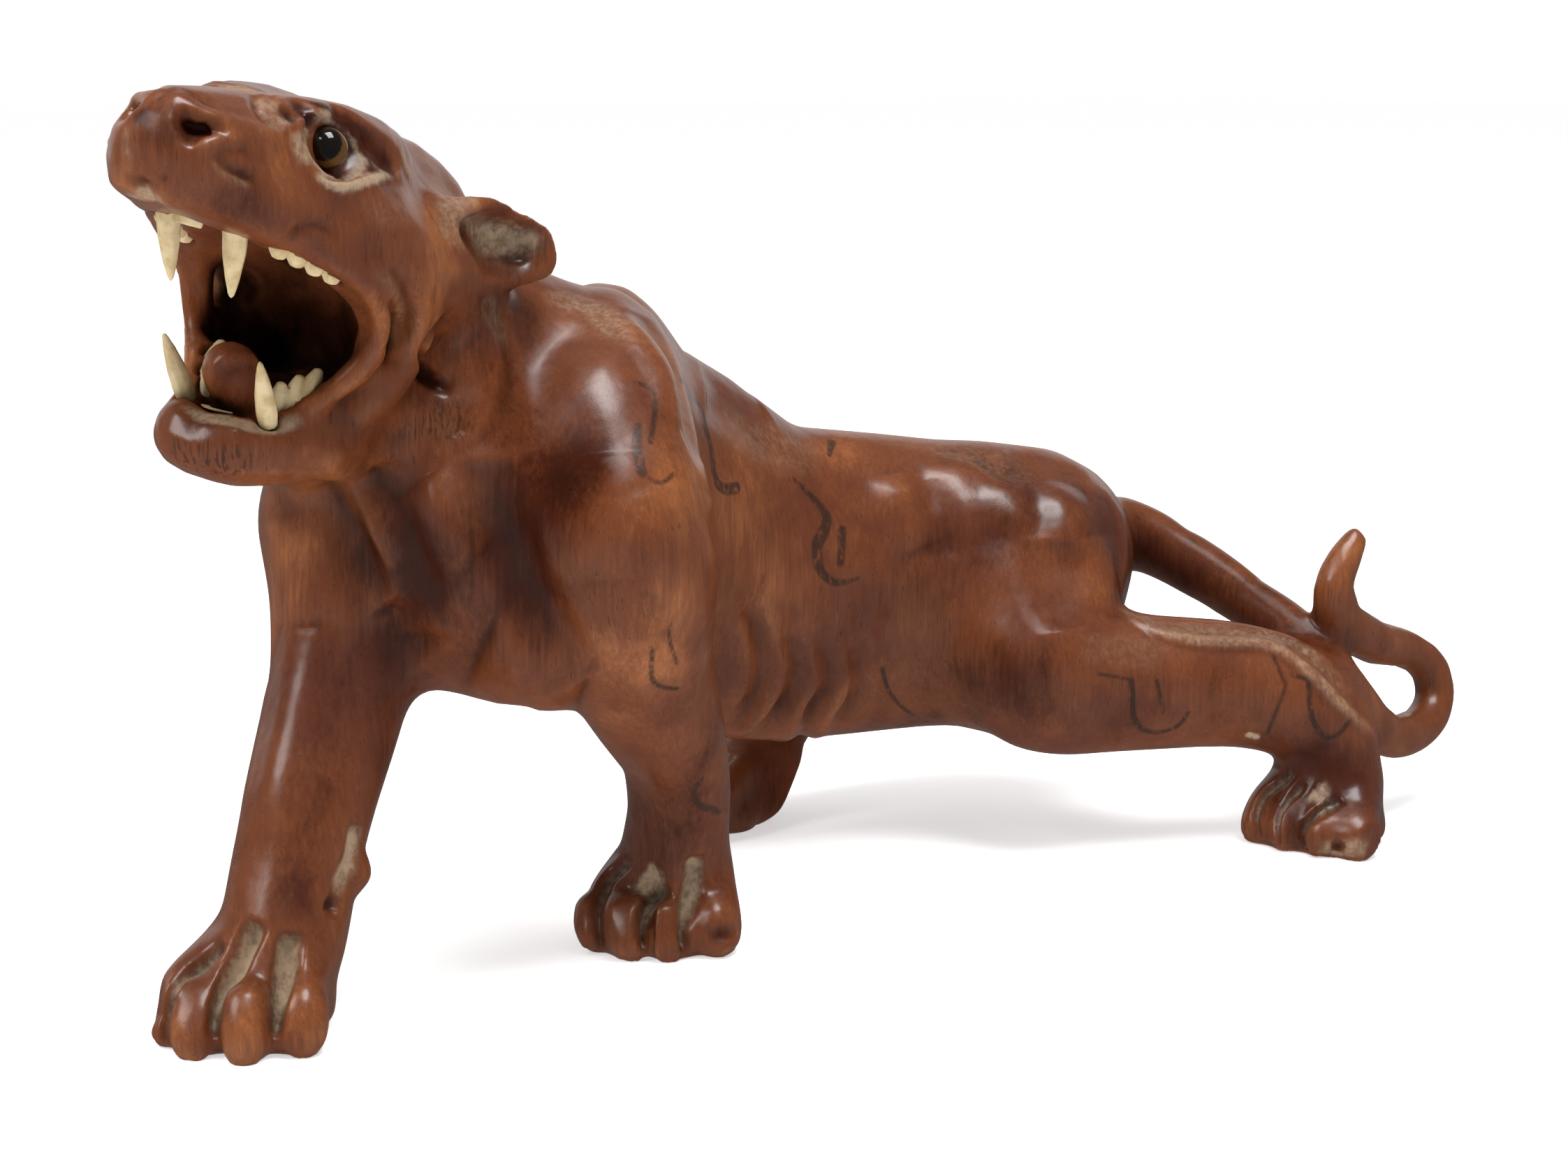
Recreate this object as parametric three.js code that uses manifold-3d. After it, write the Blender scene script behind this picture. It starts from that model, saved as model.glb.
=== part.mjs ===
// A carved wooden tiger, crouching and roaring, with inset glass eyes and bone teeth.
// Millimetres. +Z is up, the tiger looks towards -X and turns its head to its left, -Y.
// The wood is one piece. Its form is a rounded blend of limbs and lumps from which the mouth, the
// ears' hollows, the ribs and the clefts between the toes are cut, as a carver would. That form is
// turned into facets, thinned, cut flat under the paws and given sockets for the eyes and teeth.
import * as THREE from "three";
import Module from "manifold-3d";
import { mergeVertices } from "three/addons/utils/BufferGeometryUtils.js";

// Driving sizes
const fineCell = 1.3; // grid of the first facets at the head and the paws
const coarseCell = 2.1; // and between them
const woodTriangles = 7250; // facets kept on the wood
const gap = 0.3; // air between an inset piece and its socket
const pawWidth = 33;
const toeRadius = 4.7;
const eyeRadius = 3.1;
const canineRadius = 2.0;
const headAt = [-103.5, 0, 146.3]; // between the ears and the eyes, in the middle of the skull
const headTurn = { yaw: 30, pitch: 11, roll: 12 }; // degrees: to its left, up, over

// Vectors are plain arrays of three numbers.
const add = (a, b, k = 1) => [a[0] + b[0] * k, a[1] + b[1] * k, a[2] + b[2] * k];
const dot = (a, b) => a[0] * b[0] + a[1] * b[1] + a[2] * b[2];
const cross = (a, b) => [
  a[1] * b[2] - a[2] * b[1],
  a[2] * b[0] - a[0] * b[2],
  a[0] * b[1] - a[1] * b[0],
];
const length = (a) => Math.hypot(a[0], a[1], a[2]);
const unit = (a) => add([0, 0, 0], a, 1 / (length(a) || 1));
const mix = (a, b, t) => a + (b - a) * t;

// A form is a function distance(x, y, z), negative inside, with a sphere around the form.
function form(distance, centre, reach) {
  return { distance, centre, reach };
}

// The points of a smooth curve through the stations, with the radius as a fourth number
// and the width, as a share of the height, as a fifth.
function smoothStations(stations, steps) {
  const rows = [];
  const at = (i) => stations[Math.min(Math.max(i, 0), stations.length - 1)];
  for (let i = 0; i < stations.length - 1; i += 1) {
    for (let s = 0; s < steps; s += 1) {
      const t = s / steps;
      const row = at(i).map((_, k) => {
        const [a, b, c, d] = [at(i - 1)[k], at(i)[k], at(i + 1)[k], at(i + 2)[k]];
        return b + 0.5 * t * (c - a + t * (2 * a - 5 * b + 4 * c - d + t * (3 * (b - c) + d - a)));
      });
      rows.push(row);
    }
  }
  rows.push(stations.at(-1));
  return rows;
}

// A limb swells and tapers along a smooth line. A station is [x, y, z, radius] or
// [x, y, z, half height, width share], where the width lies level across the limb.
function limb(stations, steps = 4) {
  const rows = smoothStations(stations.map((s) => (s.length < 5 ? [...s, 1] : s)), steps);
  const wide = (row) => row[3] * Math.max(1, row[4]);
  const spans = [];
  for (let i = 0; i + 1 < rows.length; i += 1) {
    const [a, b] = [rows[i], rows[i + 1]];
    const d = [b[0] - a[0], b[1] - a[1], b[2] - a[2]];
    const flat = Math.hypot(d[0], d[1]) || 1;
    const middle = [0, 1, 2].map((k) => (a[k] + b[k]) / 2);
    spans.push({ a, d, dd: dot(d, d) || 1, across: [-d[1] / flat, d[0] / flat], r: b[3] - a[3],
      wa: a[4], w: b[4] - a[4], middle, reach: length(d) / 2 + Math.max(wide(a), wide(b)) });
  }
  const low = [0, 1, 2].map((k) => Math.min(...rows.map((p) => p[k] - wide(p))));
  const high = [0, 1, 2].map((k) => Math.max(...rows.map((p) => p[k] + wide(p))));
  const centre = [0, 1, 2].map((k) => (low[k] + high[k]) / 2);
  const distance = (x, y, z) => {
    let best = Infinity;
    for (const { a, d, dd, across, r, wa, w, middle, reach } of spans) {
      const [mx, my, mz] = [x - middle[0], y - middle[1], z - middle[2]];
      const limit = best + reach;
      if (limit < 0 || mx * mx + my * my + mz * mz > limit * limit) continue;
      const [px, py, pz] = [x - a[0], y - a[1], z - a[2]];
      const t = Math.min(1, Math.max(0, (px * d[0] + py * d[1] + pz * d[2]) / dd));
      let [qx, qy] = [px - d[0] * t, py - d[1] * t];
      const qz = pz - d[2] * t;
      const width = wa + w * t;
      if (width !== 1) {
        const side = (qx * across[0] + qy * across[1]) * (1 / width - 1);
        qx += across[0] * side;
        qy += across[1] * side;
      }
      best = Math.min(best, Math.sqrt(qx * qx + qy * qy + qz * qz) - a[3] - r * t);
    }
    return best;
  };
  return form(distance, centre, length(add(high, low, -1)) / 2);
}

// A lump is an egg with three half sizes: along its axis, level across it, and upwards from it.
function lump(centre, [rx, ry, rz], axis = [1, 0, 0]) {
  const u = unit(axis);
  const v = unit(cross([0, 0, 1], u));
  const w = cross(u, v);
  const distance = (x, y, z) => {
    const p = [x - centre[0], y - centre[1], z - centre[2]];
    const q = [dot(p, u) / rx, dot(p, v) / ry, dot(p, w) / rz];
    const k0 = length(q);
    const k1 = Math.hypot(q[0] / rx, q[1] / ry, q[2] / rz);
    return k1 > 1e-9 ? (k0 * (k0 - 1)) / k1 : -Math.min(rx, ry, rz);
  };
  return form(distance, centre, Math.max(rx, ry, rz));
}

// Forms flow into each other over a fillet of the given size.
function blend(fillet, ...forms) {
  const low = [0, 1, 2].map((k) => Math.min(...forms.map((f) => f.centre[k] - f.reach)));
  const high = [0, 1, 2].map((k) => Math.max(...forms.map((f) => f.centre[k] + f.reach)));
  const centre = [0, 1, 2].map((k) => (low[k] + high[k]) / 2);
  const reach = Math.max(...forms.map((f) => length(add(f.centre, centre, -1)) + f.reach));
  const distance = (x, y, z) => {
    let near = Infinity;
    for (const f of forms) {
      const [cx, cy, cz] = f.centre;
      const away = Math.sqrt((x - cx) ** 2 + (y - cy) ** 2 + (z - cz) ** 2) - f.reach;
      if (away > near + fillet) continue;
      const d = f.distance(x, y, z);
      const h = Math.max(fillet - Math.abs(near - d), 0);
      near = Math.min(near, d) - (near === Infinity ? 0 : (h * h) / (4 * fillet));
    }
    return near;
  };
  return form(distance, centre, reach + fillet);
}

// What is carved away leaves an edge rounded by the given size.
function carve(base, soften, ...cuts) {
  const distance = (x, y, z) => {
    let d = base.distance(x, y, z);
    for (const cut of cuts) {
      const [cx, cy, cz] = cut.centre;
      const away = Math.sqrt((x - cx) ** 2 + (y - cy) ** 2 + (z - cz) ** 2) - cut.reach;
      if (away > soften - d) continue;
      const c = -cut.distance(x, y, z);
      const h = Math.max(soften - Math.abs(d - c), 0);
      d = Math.max(d, c) + (h * h) / (4 * soften);
    }
    return d;
  };
  return form(distance, base.centre, base.reach);
}

// The nearest place on a form's surface, found by walking down its distance.
function onSurface(base, point) {
  let p = point;
  const e = 0.05;
  for (let i = 0; i < 12; i += 1) {
    const d = base.distance(...p);
    const slope = unit([0, 1, 2].map((k) => {
      const q = [...p];
      q[k] += e;
      return base.distance(...q) - d;
    }));
    p = add(p, slope, -d);
    if (i === 11) return { p, out: slope };
  }
  return null;
}

// A groove follows the surface through the given points, with a round bottom of the given
// radius, and runs out to nothing at both ends.
function groove(base, points, radius, depth) {
  const rows = smoothStations(points, 4);
  const stations = rows.map((row, i) => {
    const { p, out } = onSurface(base, row);
    const share = Math.sin((Math.PI * (i + 0.6)) / (rows.length + 0.2));
    const deep = depth * Math.sqrt(Math.max(share, 0));
    return [...add(p, out, radius - deep), radius];
  });
  return limb(stations, 1);
}

// The head's own axes: forward out of the nose, to the tiger's left, and up out of the crown.
const radians = Math.PI / 180;
const yaw = headTurn.yaw * radians;
const pitch = headTurn.pitch * radians;
const roll = headTurn.roll * radians;
const headForward = [
  -Math.cos(yaw) * Math.cos(pitch),
  -Math.sin(yaw) * Math.cos(pitch),
  Math.sin(pitch),
];
const levelLeft = [Math.sin(yaw), -Math.cos(yaw), 0];
const levelUp = cross(headForward, levelLeft);
const headLeft = add(add([0, 0, 0], levelLeft, Math.cos(roll)), levelUp, -Math.sin(roll));
const headUp = add(add([0, 0, 0], levelUp, Math.cos(roll)), levelLeft, Math.sin(roll));
const fromHead = ([f, l, u]) =>
  add(add(add(headAt, headForward, f), headLeft, l), headUp, u);

// A form made in the head's axes, the same on both sides, set in its place on the tiger.
function onHead(made) {
  const [f, l, u] = [headForward, headLeft, headUp];
  const distance = (x, y, z) => {
    const [px, py, pz] = [x - headAt[0], y - headAt[1], z - headAt[2]];
    return made.distance(
      px * f[0] + py * f[1] + pz * f[2],
      Math.abs(px * l[0] + py * l[1] + pz * l[2]),
      px * u[0] + py * u[1] + pz * u[2],
    );
  };
  const [cf, cl, cu] = made.centre;
  return form(distance, fromHead([cf, 0, cu]), made.reach + Math.abs(cl));
}

// The trunk: a deep chest turned to the tiger's left, a thin waist and a square rump.
function trunk() {
  const spine = limb([
    [-74, 3, 89, 29, 0.8],
    [-48, 16, 86, 36, 0.66],
    [-22, 25, 79, 37, 0.6],
    [10, 29, 62, 35.5, 0.6],
    [45, 26, 57.5, 34, 0.68],
    [70, 19, 56, 31, 0.8],
    [84, 17, 58, 23, 0.85],
  ]);
  const chest = lump([-75, -5, 86], [21, 28, 32], [0.73, 0.68, 0]);
  const rump = lump([88, 15, 64], [14, 15, 16]);
  return blend(12, spine, chest, rump);
}

// The neck rises from the shoulders to the back of the skull.
function neck() {
  return limb([
    [-46, 12, 100, 25, 0.8],
    [-64, 9, 110, 25, 0.8],
    [-78, 8, 119, 21.5, 0.8],
    [-90, 6, 127, 18, 0.85],
  ]);
}

// Both shoulders stand out as long blades, the right one higher.
function shoulders() {
  const left = limb([
    [-44, 2, 116, 12],
    [-55, -12, 106, 17],
    [-62, -22, 92, 18.5],
    [-62, -24, 80, 17.5],
  ]);
  const right = limb([
    [-30, 26, 116, 13],
    [-52, 26, 108, 16],
    [-82, 20, 96, 17],
    [-97, 15, 88, 14],
  ]);
  return blend(8, left, right);
}

// Legs. Each runs from the trunk down to the wrist or heel; the paws are made below.
const rightForeleg = () =>
  limb([
    [-96, 14, 90, 15],
    [-99, 12, 76, 14],
    [-101.5, 9, 61, 13.6],
    [-107, 5, 50, 13],
    [-114, 0.5, 38, 12.2],
    [-119, -2.5, 26, 11.8],
    [-124, -6, 15, 11.8],
  ]);
const leftForeleg = () =>
  limb([
    [-62, -24, 84, 18],
    [-60, -24, 72, 17],
    [-55, -22, 61, 14.6],
    [-49, -20, 50, 12.4],
    [-43, -17, 40, 10.6],
    [-39, -13, 28, 10.3],
    [-38, -10, 16, 11],
  ]);
const leftHindLeg = () =>
  limb([
    [72, 9, 62, 20],
    [67, 0, 50, 19.5],
    [65, -8, 40, 18, 0.9],
    [84, -18, 37, 15.6, 0.85],
    [104, -29, 35.5, 14.2, 0.85],
    [116, -37, 31, 13.2, 0.9],
    [122, -41, 22, 11.8, 0.95],
    [122, -42, 10, 11.5],
  ]);
const rightHindLeg = () =>
  limb([
    [80, 32, 60, 22],
    [58, 40, 57, 19],
    [33, 45, 50, 15],
    [36, 51, 39, 11.5],
    [41, 54, 28, 9.5],
    [34, 54, 17, 8.5],
    [26, 53, 8, 9],
  ]);

// A paw stands at a point of the ground and faces along an angle. Four toes spread from its
// back and bend over their knuckles, with a cleft between each two that runs up to the wrist.
// They reach below the ground, where the paw is cut flat.
function paw(x, y, angle, size = 1) {
  const [c, s] = [Math.cos(angle * radians), Math.sin(angle * radians)];
  const at = (ahead, aside, up) => [x + (c * ahead - s * aside) * size,
    y + (s * ahead + c * aside) * size, up * size];
  const spread = (pawWidth / 2 - toeRadius) / 1.5;
  const toes = [-1.5, -0.5, 0.5, 1.5].map((i) => {
    const [side, back] = [i * spread, i * i * 1.6];
    return limb([
      [...at(-7 - back, side * 0.5, 14), toeRadius * size],
      [...at(5 - back, side * 0.85, 10), (toeRadius + 0.3) * size],
      [...at(11 - back, side, 4), toeRadius * size],
      [...at(11.5 - back, side, -3), (toeRadius - 0.6) * size],
    ]);
  });
  const palm = lump(at(-4, 0, 3), [11 * size, (pawWidth / 2 - 1.5) * size, 9 * size], [c, s, 0]);
  const whole = blend(1.6, palm, ...toes);
  const clefts = [-1, 0, 1].map((i) => {
    const [side, back] = [i * spread, i * i * 1.6];
    return groove(whole, [at(-5 - back, side * 0.55, 20), at(3 - back, side * 0.8, 16),
      at(11 - back, side, 11), at(16 - back, side, 4), at(15 - back, side, -4)], 1.8 * size, 1.6);
  });
  return carve(whole, 0.8, ...clefts);
}

// The tail leaves the rump, comes down to the left hind leg, and curls up behind it in a loop.
function tail() {
  return limb([
    [98, 17, 67, 8.5],
    [111, 12, 63.5, 7.8],
    [118, 3, 58.5, 6.7],
    [122, -8, 53, 6.2],
    [124, -22, 47.5, 5.8],
    [126, -34, 41, 5.4],
    [131, -41, 30, 5.4],
    [142, -41, 20.5, 5.2],
    [156, -38, 18.3, 5],
    [166, -36, 22.5, 4.8],
    [167, -34, 31, 4.6],
    [159, -33, 37, 4.6],
    [145, -34, 41, 5.2],
    [131.5, -36, 48, 5.4],
    [127.5, -37, 56, 4.6],
    [130.5, -37, 62.5, 3.8],
    [134, -37, 66.5, 3],
  ], 3);
}

// The head, in its own axes: forward, left, up.
function skull() {
  const brain = lump([-9, 0, -2.5], [27, 17.5, 19.3]);
  const muzzle = limb([
    [12, 0, 1, 16, 1.1],
    [30, 0, 3, 13.5, 1.05],
    [42, 0, 3.2, 12, 1],
    [51.5, 0, 2.3, 11.2, 1],
  ]);
  const nose = lump([56, 0, 4.6], [6.3, 7.5, 5.6]);
  const lips = limb([[52, 4, -1.5, 6.5], [42, 9, -2.5, 7], [30, 13, -5, 6], [20, 16, -8.5, 5.5]]);
  const cheekbone = limb([[28, 11, 2, 7], [12, 14.5, -3, 8.5], [-4, 15, -7, 8.5]]);
  const brow = limb([[36, 7, 10.5, 5], [22, 8, 12, 6], [4, 7.5, 10, 7]]);
  return blend(5, brain, muzzle, nose, lips, cheekbone, brow);
}

function jaw() {
  const bone = limb([[-6, 12, -34, 8], [6, 11.5, -39, 6.8], [16, 8.5, -42.5, 6.2],
    [24, 4, -43, 6]]);
  const chin = lump([19, 0, -45], [12, 9.5, 5.8]);
  const throat = lump([-8, 0, -26], [22, 15.5, 20]);
  const under = lump([4, 0, -43], [20, 10, 7]);
  return blend(4, bone, chin, throat, under);
}

// A rim and a fold of cheek ring each corner of the mouth, and a ruff of fur hangs behind them.
function cheeks() {
  const rim = limb([[30, 16, -8, 3], [20, 18.5, -12, 3.6], [13, 19, -17, 4], [11, 17.5, -23, 4],
    [13, 13, -30, 3.5], [16, 9.5, -36, 3]]);
  const fold = limb([[16, 18, -6, 3], [4, 20.5, -10, 4], [0, 20.5, -20, 4.5], [4, 16.5, -31, 4]]);
  const ruff = limb([[-8, 16, -6, 7.5], [-21, 17.5, -14, 8], [-26, 17, -23, 8], [-18, 15.5, -30, 6.5],
    [-4, 13.5, -33, 5]]);
  return blend(3, rim, fold, ruff);
}

// The edge of the open mouth from the side: along the upper lip, round the corner and back.
const lipLine = [
  [80, -5], [56, -6.5], [46, -8], [36, -9], [27, -10.5], [19, -13.5], [13.5, -18], [12, -23],
  [13.5, -29], [17, -34], [22, -37], [34, -38.5], [80, -41],
];

// The open mouth goes right through between the lips, and deeper inside between the cheeks.
function mouth() {
  const points = smoothStations(lipLine, 2);
  const throughLips = (f, l, u) => {
    let [near, inside] = [Infinity, false];
    points.forEach(([ax, ay], i) => {
      const [bx, by] = points[(i + 1) % points.length];
      const [ex, ey, px, py] = [bx - ax, by - ay, f - ax, u - ay];
      const t = Math.min(1, Math.max(0, (px * ex + py * ey) / (ex * ex + ey * ey)));
      near = Math.min(near, (px - ex * t) ** 2 + (py - ey * t) ** 2);
      if (ay > u !== by > u && f < ((bx - ax) * (u - ay)) / (by - ay) + ax) inside = !inside;
    });
    return inside ? -Math.sqrt(near) : Math.sqrt(near);
  };
  const lips = form(throughLips, [46, 0, -24], 50);
  const hollow = limb([[44, 0, -11, 5.5], [30, 0, -16, 9, 1.3], [16, 0, -21, 12, 1.35],
    [2, 0, -24, 10, 1.1]]);
  const floor = limb([[21, 0, -36, 5, 1.3], [12, 0, -34, 6.5, 1.3], [2, 0, -30, 8, 1.1]]);
  return blend(2, lips, hollow, floor);
}

const tongue = () =>
  limb([[-4, 0, -36, 6.5, 1.2], [8, 0, -36.5, 6, 1.2], [16, 0, -35, 5.5, 1.1], [21, 0, -31.5, 4, 1.1]]);

function ears() {
  const shell = limb([[-5, 15, 0.5, 7.5, 0.6], [-14, 21, 1.6, 8.8, 0.5], [-25, 27, 2.8, 5.6, 0.45]]);
  const hollow = limb([[-10, 21, 1, 5.4, 0.7], [-16, 25, 2, 7, 0.6], [-24, 29.3, 3, 4.2, 0.6]]);
  return carve(shell, 1, hollow);
}

// The eye hollows, the nostrils and the cleft of the upper lip.
function faceCuts() {
  const eyeHollow = lump([30, 14.5, 11], [9, 4.6, 5.5]);
  const nostril = lump([58.6, 5.5, 6.8], [3.2, 2.3, 2.2], [0.8, 0.6, 0]);
  const cleft = limb([[62.5, 0, 1, 1.1], [61, 0, -4, 1.3], [54, 0, -9, 1.3]]);
  return [eyeHollow, nostril, cleft];
}

function wood() {
  const head = carve(
    blend(1.5, carve(blend(4, skull(), jaw(), cheeks(), ears()), 2, mouth()), tongue()),
    1.2,
    ...faceCuts(),
  );
  const rear = blend(16, trunk(), leftHindLeg());
  const limbs = blend(9, rear, shoulders(), rightForeleg(), leftForeleg(), rightHindLeg());
  const paws = blend(3, paw(-132, -8.5, 222), paw(-41, -10.5, 228),
    paw(117, -44, 200, 0.97), paw(14, 53, 180, 0.95));
  const body = blend(4, blend(9, limbs, neck(), onHead(head)), paws, tail());
  const ribs = [0, 1, 2, 3, 4, 5].map((i) => {
    const x = -8 + i * 8.5;
    return groove(body, [[x - 1, 6, 62], [x - 4, 6, 50], [x - 2, 10, 38], [x + 3, 16, 30]], 3.2, 1.3);
  });
  return carve(body, 1, ...ribs);
}

// The lines of the grid along one axis, finer inside the given stretches.
function gridLines(low, high, fineStretches) {
  const lines = [low];
  while (lines.at(-1) < high || (lines.length - 1) % block) {
    const at = lines.at(-1);
    const fine = fineStretches.some(([from, to]) => at >= from && at < to);
    lines.push(at + (fine ? fineCell : coarseCell));
  }
  return lines;
}

// The form becomes facets on a grid of boxes, each split into six tetrahedra, so that the
// skin is closed and every edge has two facets. Blocks of boxes far from the skin are skipped.
const block = 4;

function facets(solid, lines) {
  const count = lines.map((row) => row.length);
  const index = (i, j, k) => i + count[0] * (j + count[1] * k);
  const field = new Float32Array(count[0] * count[1] * count[2]).fill(NaN);
  const steep = 0.6; // the least share of the true distance that a form may state
  const value = (i, j, k) => {
    const n = index(i, j, k);
    if (Number.isNaN(field[n])) {
      field[n] = solid.distance(lines[0][i], lines[1][j], lines[2][k]) || 1e-6;
    }
    return field[n];
  };
  const corners = [0, 1, 2, 3, 4, 5, 6, 7].map((c) => [c & 1, (c >> 1) & 1, (c >> 2) & 1]);
  const tetrahedra = [[0, 1, 3, 7], [0, 3, 2, 7], [0, 2, 6, 7], [0, 6, 4, 7], [0, 4, 5, 7],
    [0, 5, 1, 7]];
  const positions = [];
  const triangles = [];
  const made = new Map();
  const crossing = (a, b) => {
    const key = a[0] < b[0] ? a[0] * field.length + b[0] : b[0] * field.length + a[0];
    let v = made.get(key);
    if (v === undefined) {
      const t = a[2] / (a[2] - b[2]);
      v = positions.length / 3;
      for (let k = 0; k < 3; k += 1) positions.push(mix(a[1][k], b[1][k], t));
      made.set(key, v);
    }
    return v;
  };
  const cube = (i, j, k) => {
    const values = corners.map(([a, b, c]) => value(i + a, j + b, k + c));
    if (values.every((v) => v > 0) || values.every((v) => v <= 0)) return;
    const at = corners.map(([a, b, c], n) => [index(i + a, j + b, k + c),
      [lines[0][i + a], lines[1][j + b], lines[2][k + c]], values[n]]);
    for (const tetrahedron of tetrahedra) {
      const four = tetrahedron.map((c) => at[c]);
      const inside = four.filter((c) => c[2] <= 0);
      const outside = four.filter((c) => c[2] > 0);
      if (!inside.length || !outside.length) continue;
      let ring;
      if (inside.length === 1) ring = outside.map((o) => crossing(inside[0], o));
      else if (outside.length === 1) ring = inside.map((n) => crossing(n, outside[0]));
      else {
        ring = [crossing(inside[0], outside[0]), crossing(inside[0], outside[1]),
          crossing(inside[1], outside[1]), crossing(inside[1], outside[0])];
      }
      const p = ring.map((v) => positions.slice(v * 3, v * 3 + 3));
      const normal = cross(add(p[1], p[0], -1), add(p[2], p[0], -1));
      const outward = add(outside[0][1], inside[0][1], -1);
      if (dot(normal, outward) < 0) ring.reverse();
      triangles.push(ring[0], ring[1], ring[2]);
      if (ring.length === 4) triangles.push(ring[0], ring[2], ring[3]);
    }
  };
  for (let k = 0; k + 1 < count[2]; k += block) {
    for (let j = 0; j + 1 < count[1]; j += block) {
      for (let i = 0; i + 1 < count[0]; i += block) {
        const from = [i, j, k].map((n, axis) => lines[axis][n]);
        const to = [i, j, k].map((n, axis) => lines[axis][n + block]);
        const middle = from.map((f, axis) => (f + to[axis]) / 2);
        const halfDiagonal = length(add(to, from, -1)) / 2;
        if (Math.abs(solid.distance(...middle)) * steep > halfDiagonal) continue;
        for (let c = 0; c < block ** 3; c += 1) {
          cube(i + (c % block), j + (Math.floor(c / block) % block), k + Math.floor(c / block ** 2));
        }
      }
    }
  }
  return { positions, triangles };
}

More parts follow.
